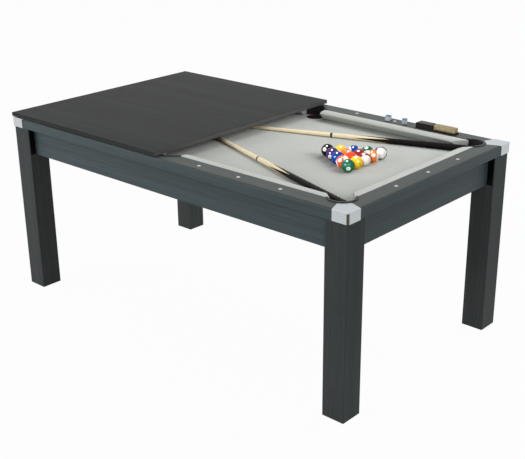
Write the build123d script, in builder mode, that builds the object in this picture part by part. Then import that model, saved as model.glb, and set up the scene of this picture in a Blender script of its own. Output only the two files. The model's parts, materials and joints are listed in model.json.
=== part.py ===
from build123d import *
import os
from math import atan, cos, radians, sin, sqrt, tan

# A six foot pool table that turns into a dining table, in millimetres.
# X runs along the length, Y across it and Z up; the floor is Z = 0.
# Front is -Y, right is +X. One half of the dining top lies on the left half.

# Playing field, measured from cushion nose to cushion nose
field_length = 1600.0
field_width = 800.0

# Rails and their cushions
rail_top = 800.0
rail_height = 41.0
rail_width = 75.0
rail_edge_radius = 9.5
cushion_depth = 47.5
cushion_nose_height = 32.0
cushion_nose_radius = 3.0
cushion_shoulder = 26.0
cushion_crown = 1.2
cushion_undercut = 27.0
cushion_drop = 1.0
cushion_lift = 2.0
corner_mouth = 90.0
corner_cut_angle = 45.0
middle_mouth = 116.0
middle_cut_angle = 5.0

# Pockets: holes, the liners in the rails and the cups below the bed
corner_pocket_radius = 45.0
middle_pocket_radius = 39.0
corner_setback = 15.0
middle_setback = 41.0
liner_wall = 2.0
liner_rim = 11.0
liner_rise = 3.4
liner_seat = 4.4
liner_edge = 1.6
liner_gap = 0.3
middle_throat = 104.0
middle_wing = 132.0
cup_depth = 68.0
cup_wall = 2.0
cup_bottom_radius = 14.0
cup_gap = 0.6
cup_ear_length = 18.0
cup_ear_width = 20.0
cup_ear_thickness = 3.0

# Folded corner caps
cap_thickness = 2.5
cap_top_thickness = 2.0
cap_arm = 68.0
cap_seam = 7.5
cap_pocket_gap = 1.0
cap_fold_radius = 1.2
cap_fit = 0.2

# Sights let into the rail tops
sight_diameter = 14.0
sight_depth = 3.0
sight_rise = 0.3
sight_fit = 0.1

# Bed with a block let in round each pocket, its cloth, and the beams below
bed_thickness = 18.0
bed_block_wall = 14.0
cloth_thickness = 1.6
bed_gap = 0.3
beam_width = 32.0
beam_height = 45.0
beam_places = (275.0, 525.0)

# Cabinet sides and legs
leg_size = 96.0
leg_wall = 29.0
leg_chamfer = 1.5
rail_overhang = 3.0
apron_height = 119.0
apron_thickness = 15.0

# Levelling feet
foot_diameter = 38.0
foot_thickness = 4.0
foot_edge = 1.0
stud_diameter = 8.0
stud_length = 45.0
stud_clearance = 0.3

# Bolts that hold the legs and the rails
bolt_diameter = 8.0
bolt_clearance = 0.3
bolt_head_width = 13.0
bolt_head_height = 5.5
leg_bolt_bite = 20.0
leg_bolt_heights = (30.0, 88.0)
rail_bolt_bite = 24.0
long_rail_bolts = (150.0, 400.0, 650.0)
end_rail_bolts = (200.0,)

# Dining top: one half of two, on felt pads
top_thickness = 16.0
top_edge_radius = 2.0
top_clearance = 0.6
pad_length = 90.0
pad_width = 22.0
long_pad_places = (120.0, 480.0, 780.0)
end_pad_places = (300.0,)

# Balls in their rack: numbers by row from the apex, each row from the front to the back
ball_diameter = 50.8
rack_order = ((8,), (4, 9), (2, 5, 10), (11, 3, 7, 14), (6, 1, 15, 13, 12))
rack_gap = 1.0
rack_offset = (12.0, 13.0)
rest_gap = 0.3

# Cues, each by one long cushion: how they taper, how far the joint lies from the end cushion's
# nose and from the long cushion's, and the angle at which the butt points to the long cushion
cue_tip_diameter = 9.5
cue_butt_diameter = 28.0
cue_shaft_length = 610.0
cue_butt_length = 610.0
cue_end_radius = 5.0
cue_tip_radius = 3.0
cue_places = {"cue_1": (1, 546.0, 168.0, 18.5), "cue_2": (-1, 559.0, 194.0, 19.0)}

# Chalk cubes on the back rail: place along it, distance in from its middle line, and turn
chalk_size = 21.5
chalk_edge = 1.0
chalk_bowl_diameter = 14.0
chalk_bowl_depth = 2.2
chalk_places = {"chalk_1": (372.0, 9.0, 12.0), "chalk_2": (456.0, 9.0, 35.0)}

# Table brush lying on its back on the back rail, a little in from its middle line
brush_start = 521.0
brush_inset = 11.0
brush_grip_length = 84.0
brush_head_length = 106.0
brush_width = 36.0
brush_grip_height = 24.0
brush_head_height = 7.0
brush_grip_radius = 9.0
brush_corner_radius = 6.0
strip_margin = 2.5
strip_thickness = 2.0
bristle_length = 17.0
bristle_radius = 1.1
bristle_columns = 32
bristle_rows = 10

# Heights worked out from the values above
rail_bottom = rail_top - rail_height
cloth_top = rail_bottom
bed_top = cloth_top - cloth_thickness
bed_bottom = bed_top - bed_thickness
apron_bottom = rail_bottom - apron_height
liner_top = rail_top + liner_rise
liner_seat_level = rail_top - liner_seat
cup_bottom = bed_bottom - cup_depth
top_underside = liner_top + top_clearance
pad_thickness = top_underside - rail_top

# Half sizes in plan
nose_x = field_length / 2
nose_y = field_width / 2
rail_inner_x = nose_x + cushion_depth
rail_inner_y = nose_y + cushion_depth
rail_outer_x = rail_inner_x + rail_width
rail_outer_y = rail_inner_y + rail_width
half_length = rail_outer_x + cap_thickness
half_width = rail_outer_y + cap_thickness
leg_outer_x = rail_outer_x - rail_overhang
leg_outer_y = rail_outer_y - rail_overhang
apron_outer_x = leg_outer_x - leg_wall
apron_outer_y = leg_outer_y - leg_wall
apron_inner_x = apron_outer_x - apron_thickness
apron_inner_y = apron_outer_y - apron_thickness
bed_half_x = apron_inner_x - bed_gap
bed_half_y = apron_inner_y - bed_gap
leg_x = leg_outer_x - leg_size / 2
leg_y = leg_outer_y - leg_size / 2
corner_x = nose_x + corner_setback
corner_y = nose_y + corner_setback
middle_y = nose_y + middle_setback
corner_rim_radius = corner_pocket_radius + liner_rim
middle_rim_radius = middle_pocket_radius + liner_rim
corner_liner_hole = corner_pocket_radius + liner_wall + liner_gap
middle_liner_hole = middle_pocket_radius + liner_wall + liner_gap
rail_middle_x = (rail_inner_x + rail_outer_x) / 2
rail_middle_y = (rail_inner_y + rail_outer_y) / 2
bolt_line_x = (rail_inner_x + bed_half_x) / 2
bolt_line_y = (rail_inner_y + bed_half_y) / 2
leg_bolt_x = (leg_outer_x - leg_size + apron_inner_x) / 2
leg_bolt_y = (leg_outer_y - leg_size + apron_inner_y) / 2
bolt_hole_radius = bolt_diameter / 2 + bolt_clearance
sight_pitch_x = field_length / 8
sight_pitch_y = field_width / 4
corner_mouth_run = corner_mouth / sqrt(2)
corner_block_x = corner_x - corner_pocket_radius - bed_block_wall
corner_block_y = corner_y - corner_pocket_radius - bed_block_wall
middle_block_x = middle_pocket_radius + bed_block_wall
middle_block_y = middle_y - middle_pocket_radius - bed_block_wall

long_sights = [sight_pitch_x * step for step in (-3, -2, -1, 1, 2, 3)]
end_sights = [sight_pitch_y * step for step in (-1, 0, 1)]
corner_centres = [(corner_x * sx, corner_y * sy) for sx in (-1, 1) for sy in (-1, 1)]
middle_centres = [(0, middle_y), (0, -middle_y)]

os.makedirs("parts", exist_ok=True)


def save(piece, name):
    """Label one finished piece and write it to its own file."""
    piece.label = name
    export_step(piece, f"parts/{name}.step")


def save_corners(piece, stem):
    """Write a piece modelled at the back right corner, mirrored to all four corners."""
    front = mirror(piece, about=Plane.XZ)
    save(piece, f"{stem}_back_right")
    save(front, f"{stem}_front_right")
    save(mirror(piece, about=Plane.YZ), f"{stem}_back_left")
    save(mirror(front, about=Plane.YZ), f"{stem}_front_left")


def save_pair(piece, stem, names, plane):
    """Write a piece and its mirror image in the given plane."""
    save(piece, f"{stem}_{names[0]}")
    save(mirror(piece, about=plane), f"{stem}_{names[1]}")


def middle_lines(radius, width):
    """Draw a middle pocket's lines: a round back, and its width at the rail face."""
    CenterArc((0, middle_y), radius, 0, 360)
    Line((-width / 2, rail_inner_y), (width / 2, rail_inner_y))


def rail_section(inner, outer):
    """Draw a rail's section, out from the cushion, with its rounded outer edge."""
    Polyline(
        (outer - rail_edge_radius, rail_top),
        (inner, rail_top),
        (inner, rail_bottom),
        (outer, rail_bottom),
        (outer, rail_top - rail_edge_radius),
    )
    TangentArc(
        (outer, rail_top - rail_edge_radius),
        (outer - rail_edge_radius, rail_top),
        tangent=(0, 1),
    )


def cushion_section(nose):
    """Draw a cushion's section from its nose back to the rail, with a crowned top."""
    back = nose + cushion_depth
    nose_z = cloth_top + cushion_nose_height
    nose_back = nose + cushion_nose_radius / 2
    low = (nose_back, nose_z - cushion_nose_radius)
    high = (nose_back, nose_z + cushion_nose_radius)
    shoulder = (back - cushion_shoulder, rail_top - cushion_drop)
    Polyline(
        shoulder,
        (back, rail_top - cushion_drop),
        (back, cloth_top + cushion_lift),
        (nose + cushion_undercut, cloth_top + cushion_lift),
        low,
    )
    ThreePointArc(low, (nose, nose_z), high)
    SagittaArc(high, shoulder, cushion_crown)


def cap_plate():
    """Draw a corner cap's top plate, whose two ends point at the pocket."""
    Polygon(
        (half_length, half_width),
        (half_length - cap_arm, half_width),
        (corner_x, corner_y),
        (half_length, half_width - cap_arm),
        align=None,
    )


def cap_seat():
    """Draw the seat that the rails keep for a cap's top plate."""
    Polygon(
        (half_length, half_width),
        (half_length - cap_arm - cap_fit, half_width),
        (corner_x - cap_fit, corner_y),
        (corner_x, corner_y - cap_fit),
        (half_length, half_width - cap_arm - cap_fit),
        align=None,
    )


# Legs: a square post whose top wraps round the corner of the cabinet
with BuildPart() as leg:
    with BuildSketch(Plane.XY.offset(foot_thickness)):
        with Locations((leg_x, leg_y)):
            Rectangle(leg_size, leg_size)
    extrude(amount=apron_bottom - foot_thickness)
    with BuildSketch(Plane.XY.offset(apron_bottom)):
        with Locations((leg_x, leg_y)):
            Rectangle(leg_size, leg_size)
        with Locations((leg_x - leg_wall, leg_y - leg_wall)):
            Rectangle(leg_size, leg_size, mode=Mode.SUBTRACT)
    extrude(amount=apron_height)
    post_edges = leg.edges().filter_by(Axis.Z).filter_by(lambda edge: edge.length > apron_height + 1)
    chamfer(post_edges, leg_chamfer)
    with BuildSketch(Plane.XY.offset(foot_thickness)):
        with Locations((leg_x, leg_y)):
            Circle(stud_diameter / 2 + stud_clearance)
    extrude(amount=stud_length + stud_clearance, mode=Mode.SUBTRACT)
    with BuildSketch(Plane.XZ.offset(-apron_outer_y)):
        with Locations(*[(leg_bolt_x, apron_bottom + height) for height in leg_bolt_heights]):
            Circle(bolt_hole_radius)
    extrude(amount=-(leg_bolt_bite + bolt_clearance), mode=Mode.SUBTRACT)
    with BuildSketch(Plane.YZ.offset(apron_outer_x)):
        with Locations(*[(leg_bolt_y, apron_bottom + height) for height in leg_bolt_heights]):
            Circle(bolt_hole_radius)
    extrude(amount=leg_bolt_bite + bolt_clearance, mode=Mode.SUBTRACT)
save_corners(leg.part, "leg")

# Levelling feet: a round glide on a stud that screws up into the leg
with BuildPart() as leveller:
    with BuildSketch():
        with Locations((leg_x, leg_y)):
            Circle(foot_diameter / 2)
    extrude(amount=foot_thickness)
    chamfer(leveller.edges().group_by(Axis.Z)[0], foot_edge)
    with BuildSketch(Plane.XY.offset(foot_thickness)):
        with Locations((leg_x, leg_y)):
            Circle(stud_diameter / 2)
    extrude(amount=stud_length)
save_corners(leveller.part, "leveller")

# Long sides of the cabinet, hollowed where the middle pocket cup stands
with BuildPart() as long_apron:
    with BuildSketch(Plane.XY.offset(apron_bottom)):
        with Locations((0, (apron_inner_y + apron_outer_y) / 2)):
            Rectangle(2 * apron_outer_x, apron_thickness)
    extrude(amount=apron_height)
    with BuildSketch(Plane.XY.offset(cup_bottom - cup_gap)):
        with Locations((0, middle_y)):
            Circle(middle_pocket_radius + cup_wall + cup_gap)
    extrude(amount=rail_bottom - cup_bottom + cup_gap, mode=Mode.SUBTRACT)
    with BuildSketch(Plane.XZ.offset(-apron_inner_y)):
        for side in (-1, 1):
            with Locations(*[(side * leg_bolt_x, apron_bottom + height) for height in leg_bolt_heights]):
                Circle(bolt_hole_radius)
    extrude(amount=-apron_thickness, mode=Mode.SUBTRACT)
save_pair(long_apron.part, "apron", ("back", "front"), Plane.XZ)

# Short ends of the cabinet, between the long sides
with BuildPart() as end_apron:
    with BuildSketch(Plane.XY.offset(apron_bottom)):
        with Locations(((apron_inner_x + apron_outer_x) / 2, 0)):
            Rectangle(apron_thickness, 2 * apron_inner_y)
    extrude(amount=apron_height)
    with BuildSketch(Plane.YZ.offset(apron_inner_x)):
        for side in (-1, 1):
            with Locations(*[(side * leg_bolt_y, apron_bottom + height) for height in leg_bolt_heights]):
                Circle(bolt_hole_radius)
    extrude(amount=apron_thickness, mode=Mode.SUBTRACT)
save_pair(end_apron.part, "apron", ("right", "left"), Plane.YZ)

# Bed board, cut out square where the pocket blocks are let in, with holes for the rail bolts
rail_bolt_places = [(sx * x, sy * bolt_line_y) for x in long_rail_bolts for sx in (-1, 1) for sy in (-1, 1)]
rail_bolt_places += [(sx * bolt_line_x, sy * y) for y in end_rail_bolts for sx in (-1, 1) for sy in (-1, 1)]
corner_block_size = (bed_half_x - corner_block_x, bed_half_y - corner_block_y)
corner_block_mid_x = (bed_half_x + corner_block_x) / 2
corner_block_mid_y = (bed_half_y + corner_block_y) / 2
corner_blocks_at = [(corner_block_mid_x * sx, corner_block_mid_y * sy) for sx in (-1, 1) for sy in (-1, 1)]
middle_block_size = (2 * middle_block_x, bed_half_y - middle_block_y)
middle_blocks_at = [(0, sy * (bed_half_y + middle_block_y) / 2) for sy in (-1, 1)]
with BuildPart() as bed:
    with BuildSketch(Plane.XY.offset(bed_bottom)):
        Rectangle(2 * bed_half_x, 2 * bed_half_y)
        with Locations(*corner_blocks_at):
            Rectangle(*corner_block_size, mode=Mode.SUBTRACT)
        with Locations(*middle_blocks_at):
            Rectangle(*middle_block_size, mode=Mode.SUBTRACT)
        with Locations(*rail_bolt_places):
            Circle(bolt_hole_radius, mode=Mode.SUBTRACT)
    extrude(amount=bed_thickness)
save(bed.part, "bed_board")

# Blocks let into the bed's corners, each with its pocket's hole
with BuildPart() as corner_blocks:
    with BuildSketch(Plane.XY.offset(bed_bottom)):
        with Locations(*corner_blocks_at):
            Rectangle(*corner_block_size)
        with Locations(*corner_centres):
            Circle(corner_pocket_radius, mode=Mode.SUBTRACT)
    extrude(amount=bed_thickness)
save(corner_blocks.part, "bed_corner_blocks")

# Blocks let into the bed's long sides, each with its pocket's hole open to the edge
with BuildPart() as middle_blocks:
    with BuildSketch(Plane.XY.offset(bed_bottom)):
        with Locations(*middle_blocks_at):
            Rectangle(*middle_block_size)
        with Locations(*middle_centres):
            Circle(middle_pocket_radius, mode=Mode.SUBTRACT)
    extrude(amount=bed_thickness)
save(middle_blocks.part, "bed_middle_blocks")

# Cloth stretched over the bed
with BuildPart() as cloth:
    with BuildSketch(Plane.XY.offset(bed_top)):
        Rectangle(2 * bed_half_x, 2 * bed_half_y)
        with Locations(*corner_centres):
            Circle(corner_pocket_radius, mode=Mode.SUBTRACT)
        with Locations(*middle_centres):
            Circle(middle_pocket_radius, mode=Mode.SUBTRACT)
        with Locations(*rail_bolt_places):
            Circle(bolt_hole_radius, mode=Mode.SUBTRACT)
    extrude(amount=cloth_thickness)
save(cloth.part, "bed_cloth")

# Beams across the cabinet that carry the bed
with BuildPart() as beams:
    with BuildSketch(Plane.XY.offset(bed_bottom - beam_height)):
        with Locations(*[(side * place, 0) for place in beam_places for side in (-1, 1)]):
            Rectangle(beam_width, 2 * apron_inner_y)
    extrude(amount=beam_height)
save(beams.part, "cross_beams")

# Long rails: rounded section, mitred ends, pocket cut-outs and seats for caps and sights
with BuildPart() as long_rail:
    with BuildSketch(Plane.YZ):
        with BuildLine():
            rail_section(rail_inner_y, rail_outer_y)
        make_face()
    extrude(amount=rail_outer_x, both=True)
    with BuildSketch(Plane.XY.offset(rail_bottom)):
        Polygon(
            (-rail_outer_x, rail_outer_y),
            (rail_outer_x, rail_outer_y),
            (rail_inner_x, rail_inner_y),
            (-rail_inner_x, rail_inner_y),
            align=None,
        )
    extrude(amount=rail_height, mode=Mode.INTERSECT)
    with BuildSketch(Plane.XY.offset(rail_bottom)):
        with BuildLine():
            middle_lines(middle_liner_hole, middle_throat + 2 * (liner_wall + liner_gap))
        make_hull()
        with Locations((-corner_x, corner_y), (corner_x, corner_y)):
            Circle(corner_liner_hole)
    extrude(amount=rail_height, mode=Mode.SUBTRACT)
    with BuildSketch(Plane.XY.offset(liner_seat_level)):
        with BuildLine():
            middle_lines(middle_rim_radius + liner_gap, middle_wing + 2 * liner_gap)
        make_hull()
        with Locations((-corner_x, corner_y), (corner_x, corner_y)):
            Circle(corner_rim_radius + liner_gap)
    extrude(amount=rail_height, mode=Mode.SUBTRACT)
    with BuildSketch(Plane.XY.offset(rail_top - cap_top_thickness)):
        cap_seat()
        mirror(about=Plane.YZ)
    extrude(amount=rail_height, mode=Mode.SUBTRACT)
    with BuildSketch(Plane.XY.offset(rail_top - sight_depth)):
        with Locations(*[(place, rail_middle_y) for place in long_sights]):
            Circle(sight_diameter / 2 + sight_fit)
    extrude(amount=rail_height, mode=Mode.SUBTRACT)
    with BuildSketch(Plane.XY.offset(rail_bottom)):
        with Locations(*[(side * place, bolt_line_y) for place in long_rail_bolts for side in (-1, 1)]):
            Circle(bolt_hole_radius)
    extrude(amount=rail_bolt_bite + bolt_clearance, mode=Mode.SUBTRACT)
save_pair(long_rail.part, "rail", ("back", "front"), Plane.XZ)

# End rails: the same section between the mitres of the long rails
with BuildPart() as end_rail:
    with BuildSketch(Plane.XZ):
        with BuildLine():
            rail_section(rail_inner_x, rail_outer_x)
        make_face()
    extrude(amount=rail_outer_y, both=True)
    with BuildSketch(Plane.XY.offset(rail_bottom)):
        Polygon(
            (rail_outer_x, -rail_outer_y),
            (rail_outer_x, rail_outer_y),
            (rail_inner_x, rail_inner_y),
            (rail_inner_x, -rail_inner_y),
            align=None,
        )
    extrude(amount=rail_height, mode=Mode.INTERSECT)
    with BuildSketch(Plane.XY.offset(rail_bottom)):
        with Locations((corner_x, -corner_y), (corner_x, corner_y)):
            Circle(corner_liner_hole)
    extrude(amount=rail_height, mode=Mode.SUBTRACT)
    with BuildSketch(Plane.XY.offset(liner_seat_level)):
        with Locations((corner_x, -corner_y), (corner_x, corner_y)):
            Circle(corner_rim_radius + liner_gap)
    extrude(amount=rail_height, mode=Mode.SUBTRACT)
    with BuildSketch(Plane.XY.offset(rail_top - cap_top_thickness)):
        cap_seat()
        mirror(about=Plane.XZ)
    extrude(amount=rail_height, mode=Mode.SUBTRACT)
    with BuildSketch(Plane.XY.offset(rail_top - sight_depth)):
        with Locations(*[(rail_middle_x, place) for place in end_sights]):
            Circle(sight_diameter / 2 + sight_fit)
    extrude(amount=rail_height, mode=Mode.SUBTRACT)
    with BuildSketch(Plane.XY.offset(rail_bottom)):
        with Locations(*[(bolt_line_x, side * place) for place in end_rail_bolts for side in (-1, 1)]):
            Circle(bolt_hole_radius)
    extrude(amount=rail_bolt_bite + bolt_clearance, mode=Mode.SUBTRACT)
save_pair(end_rail.part, "rail", ("right", "left"), Plane.YZ)

# Long cushions: rubber noses from a middle pocket to a corner pocket, cut back at both mouths
with BuildPart() as long_cushion:
    with BuildSketch(Plane.YZ):
        with BuildLine():
            cushion_section(nose_y)
        make_face()
    extrude(amount=rail_inner_x)
    with BuildSketch(Plane.XY.offset(cloth_top)):
        Polygon(
            (middle_mouth / 2, nose_y),
            (nose_x - corner_mouth_run, nose_y),
            (nose_x - corner_mouth_run + cushion_depth / tan(radians(corner_cut_angle)), rail_inner_y),
            (middle_mouth / 2 - cushion_depth * tan(radians(middle_cut_angle)), rail_inner_y),
            align=None,
        )
    extrude(amount=rail_height, mode=Mode.INTERSECT)
save_corners(long_cushion.part, "cushion")

# End cushions: one across each end, from corner pocket to corner pocket
with BuildPart() as end_cushion:
    with BuildSketch(Plane.XZ):
        with BuildLine():
            cushion_section(nose_x)
        make_face()
    extrude(amount=rail_inner_y, both=True)
    with BuildSketch(Plane.XY.offset(cloth_top)):
        Polygon(
            (nose_x, nose_y - corner_mouth_run),
            (nose_x, corner_mouth_run - nose_y),
            (rail_inner_x, corner_mouth_run - nose_y - cushion_depth / tan(radians(corner_cut_angle))),
            (rail_inner_x, nose_y - corner_mouth_run + cushion_depth / tan(radians(corner_cut_angle))),
            align=None,
        )
    extrude(amount=rail_height, mode=Mode.INTERSECT)
save_pair(end_cushion.part, "cushion", ("right", "left"), Plane.YZ)

# Corner caps: a top plate with two side flanges folded down, left open at the corner
with BuildPart() as corner_caps:
    with BuildSketch(Plane.XY.offset(rail_top - cap_top_thickness)):
        cap_plate()
        with Locations((corner_x, corner_y)):
            Circle(corner_rim_radius + cap_pocket_gap, mode=Mode.SUBTRACT)
    extrude(amount=cap_top_thickness)
    with BuildSketch(Plane.XY.offset(rail_bottom)):
        with Locations((half_length - (cap_arm + cap_seam) / 2, half_width - cap_thickness / 2)):
            Rectangle(cap_arm - cap_seam, cap_thickness)
        with Locations((half_length - cap_thickness / 2, half_width - (cap_arm + cap_seam) / 2)):
            Rectangle(cap_thickness, cap_arm - cap_seam)
    extrude(amount=rail_height)
    fold_edges = corner_caps.edges().group_by(Axis.Z)[-1].filter_by(
        lambda edge: edge.center().X > half_length - cap_fit or edge.center().Y > half_width - cap_fit
    )
    fillet(fold_edges, cap_fold_radius)
    mirror(about=Plane.YZ)
    mirror(about=Plane.XZ)
save(corner_caps.part, "corner_caps")

# Corner pocket liners: a turned wall with a rim that stands over the rails, open towards the field
with BuildPart() as corner_liners:
    liner_plane = Plane((corner_x, corner_y, 0), x_dir=(-1, -1, 0), z_dir=(-1, 1, 0))
    with BuildSketch(liner_plane) as liner_section:
        Polygon(
            (corner_pocket_radius, rail_bottom),
            (corner_pocket_radius + liner_wall, rail_bottom),
            (corner_pocket_radius + liner_wall, liner_seat_level),
            (corner_rim_radius, liner_seat_level),
            (corner_rim_radius, liner_top),
            (corner_pocket_radius, liner_top),
            align=None,
        )
        chamfer(liner_section.vertices().group_by(Axis.Y)[-1], liner_edge)
    revolve(axis=Axis((corner_x, corner_y, 0), (0, 0, 1)))
    with BuildSketch(Plane.XY.offset(rail_bottom)):
        Rectangle(2 * corner_x, 2 * (rail_inner_y + liner_gap))
        Rectangle(2 * (rail_inner_x + liner_gap), 2 * corner_y)
    extrude(amount=liner_top - rail_bottom, mode=Mode.SUBTRACT)
    mirror(about=Plane.YZ)
    mirror(about=Plane.XZ)
save(corner_liners.part, "corner_liners")

# Middle pocket liners: the same wall and rim, flared where they meet the cushions
with BuildPart() as middle_liners:
    with BuildSketch(Plane.XY.offset(rail_bottom)):
        with BuildLine():
            middle_lines(middle_pocket_radius + liner_wall, middle_throat + 2 * liner_wall)
        make_hull()
    extrude(amount=liner_top - rail_bottom)
    with BuildSketch(Plane.XY.offset(liner_seat_level)):
        with BuildLine():
            middle_lines(middle_rim_radius, middle_wing)
        make_hull()
    extrude(amount=liner_top - liner_seat_level)
    with BuildSketch(Plane.XY.offset(rail_bottom)):
        with BuildLine():
            middle_lines(middle_pocket_radius, middle_throat)
        make_hull()
    extrude(amount=liner_top - rail_bottom, mode=Mode.SUBTRACT)
    with BuildSketch(Plane.XY.offset(rail_bottom)):
        Rectangle(2 * rail_inner_x, 2 * (rail_inner_y + liner_gap))
    extrude(amount=liner_top - rail_bottom, mode=Mode.SUBTRACT)
    chamfer(middle_liners.edges().group_by(Axis.Z)[-1].filter_by(GeomType.CIRCLE), liner_edge)
    mirror(about=Plane.XZ)
save(middle_liners.part, "middle_liners")

# Corner pocket cups: thin pots below the bed, each held by two ears
with BuildPart() as corner_cups:
    with BuildSketch(Plane.XY.offset(cup_bottom)):
        with Locations((corner_x, corner_y)):
            Circle(corner_pocket_radius + cup_wall)
    extrude(amount=cup_depth)
    fillet(corner_cups.edges().group_by(Axis.Z)[0], cup_bottom_radius)
    offset(amount=-cup_wall, openings=corner_cups.faces().sort_by(Axis.Z)[-1])
    with BuildSketch(Plane.XY.offset(bed_bottom - cup_ear_thickness)):
        with Locations((corner_x - corner_pocket_radius - cup_ear_length / 2, corner_y)):
            Rectangle(cup_ear_length, cup_ear_width)
        with Locations((corner_x, corner_y - corner_pocket_radius - cup_ear_length / 2)):
            Rectangle(cup_ear_width, cup_ear_length)
        with Locations((corner_x, corner_y)):
            Circle(corner_pocket_radius, mode=Mode.SUBTRACT)
    extrude(amount=cup_ear_thickness)
    mirror(about=Plane.YZ)
    mirror(about=Plane.XZ)
save(corner_cups.part, "corner_cups")

# Middle pocket cups: the same pot with its ears along the rail
with BuildPart() as middle_cups:
    with BuildSketch(Plane.XY.offset(cup_bottom)):
        with Locations((0, middle_y)):
            Circle(middle_pocket_radius + cup_wall)
    extrude(amount=cup_depth)
    fillet(middle_cups.edges().group_by(Axis.Z)[0], cup_bottom_radius)
    offset(amount=-cup_wall, openings=middle_cups.faces().sort_by(Axis.Z)[-1])
    with BuildSketch(Plane.XY.offset(bed_bottom - cup_ear_thickness)):
        for side in (-1, 1):
            with Locations((side * (middle_pocket_radius + cup_ear_length / 2), middle_y)):
                Rectangle(cup_ear_length, cup_ear_width)
        with Locations((0, middle_y)):
            Circle(middle_pocket_radius, mode=Mode.SUBTRACT)
    extrude(amount=cup_ear_thickness)
    mirror(about=Plane.XZ)
save(middle_cups.part, "middle_cups")

# Sights: round white markers let into the rail tops
with BuildPart() as sights:
    with BuildSketch(Plane.XY.offset(rail_top - sight_depth)):
        for side in (-1, 1):
            with Locations(*[(place, side * rail_middle_y) for place in long_sights]):
                Circle(sight_diameter / 2)
            with Locations(*[(side * rail_middle_x, place) for place in end_sights]):
                Circle(sight_diameter / 2)
    extrude(amount=sight_depth + sight_rise)
    chamfer(sights.edges().group_by(Axis.Z)[-1], sight_rise)
save(sights.part, "rail_sights")

# Bolts through the cabinet sides into the legs, heads inside
with BuildPart() as leg_bolts:
    with BuildSketch(Plane.XZ.offset(-apron_inner_y)):
        with Locations(*[(leg_bolt_x, apron_bottom + height) for height in leg_bolt_heights]):
            Circle(bolt_diameter / 2)
    extrude(amount=-(apron_thickness + leg_bolt_bite))
    with BuildSketch(Plane.XZ.offset(-apron_inner_y)):
        with Locations(*[(leg_bolt_x, apron_bottom + height) for height in leg_bolt_heights]):
            RegularPolygon(bolt_head_width / 2, 6, major_radius=False)
    extrude(amount=bolt_head_height)
    with BuildSketch(Plane.YZ.offset(apron_inner_x)):
        with Locations(*[(leg_bolt_y, apron_bottom + height) for height in leg_bolt_heights]):
            Circle(bolt_diameter / 2)
    extrude(amount=apron_thickness + leg_bolt_bite)
    with BuildSketch(Plane.YZ.offset(apron_inner_x)):
        with Locations(*[(leg_bolt_y, apron_bottom + height) for height in leg_bolt_heights]):
            RegularPolygon(bolt_head_width / 2, 6, major_radius=False)
    extrude(amount=-bolt_head_height)
    mirror(about=Plane.YZ)
    mirror(about=Plane.XZ)
save(leg_bolts.part, "leg_bolts")

# Bolts up through the bed into the rails
with BuildPart() as rail_bolts:
    with BuildSketch(Plane.XY.offset(bed_bottom)):
        with Locations(*rail_bolt_places):
            Circle(bolt_diameter / 2)
    extrude(amount=rail_bottom - bed_bottom + rail_bolt_bite)
    with BuildSketch(Plane.XY.offset(bed_bottom)):
        with Locations(*rail_bolt_places):
            RegularPolygon(bolt_head_width / 2, 6, major_radius=False)
    extrude(amount=-bolt_head_height)
save(rail_bolts.part, "rail_bolts")

# Dining top: the half that lies on the left of the table
with BuildPart() as dining_top:
    with BuildSketch(Plane.XY.offset(top_underside)):
        with Locations((-half_length / 2, 0)):
            Rectangle(half_length, 2 * half_width)
    extrude(amount=top_thickness)
    fillet(dining_top.edges().group_by(Axis.Z)[-1], top_edge_radius)
save(dining_top.part, "dining_top")

# Felt pads under the dining top, on the rails
with BuildPart() as top_pads:
    with BuildSketch(Plane.XY.offset(rail_top)):
        for side in (-1, 1):
            with Locations(*[(-place, side * rail_middle_y) for place in long_pad_places]):
                Rectangle(pad_length, pad_width)
            with Locations(*[(-rail_middle_x, side * place) for place in end_pad_places]):
                Rectangle(pad_width, pad_length)
    extrude(amount=pad_thickness)
save(top_pads.part, "top_pads")

# Balls: spheres in a triangle, row by row, with the apex just off the spot a quarter of the field in
rack_x = field_length / 4 + rack_offset[0]
rack_y = rack_offset[1]
rack_pitch = ball_diameter + rack_gap
row_step = rack_pitch * sin(radians(60))
ball_centre_z = cloth_top + rest_gap + ball_diameter / 2
for row, numbers in enumerate(rack_order):
    for place, number in enumerate(numbers):
        ball_x = rack_x + row * row_step
        ball_y = rack_y + (place - row / 2) * rack_pitch
        with BuildPart() as ball:
            with Locations((ball_x, ball_y, ball_centre_z)):
                Sphere(ball_diameter / 2)
        save(ball.part, f"ball_{number}")

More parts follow.
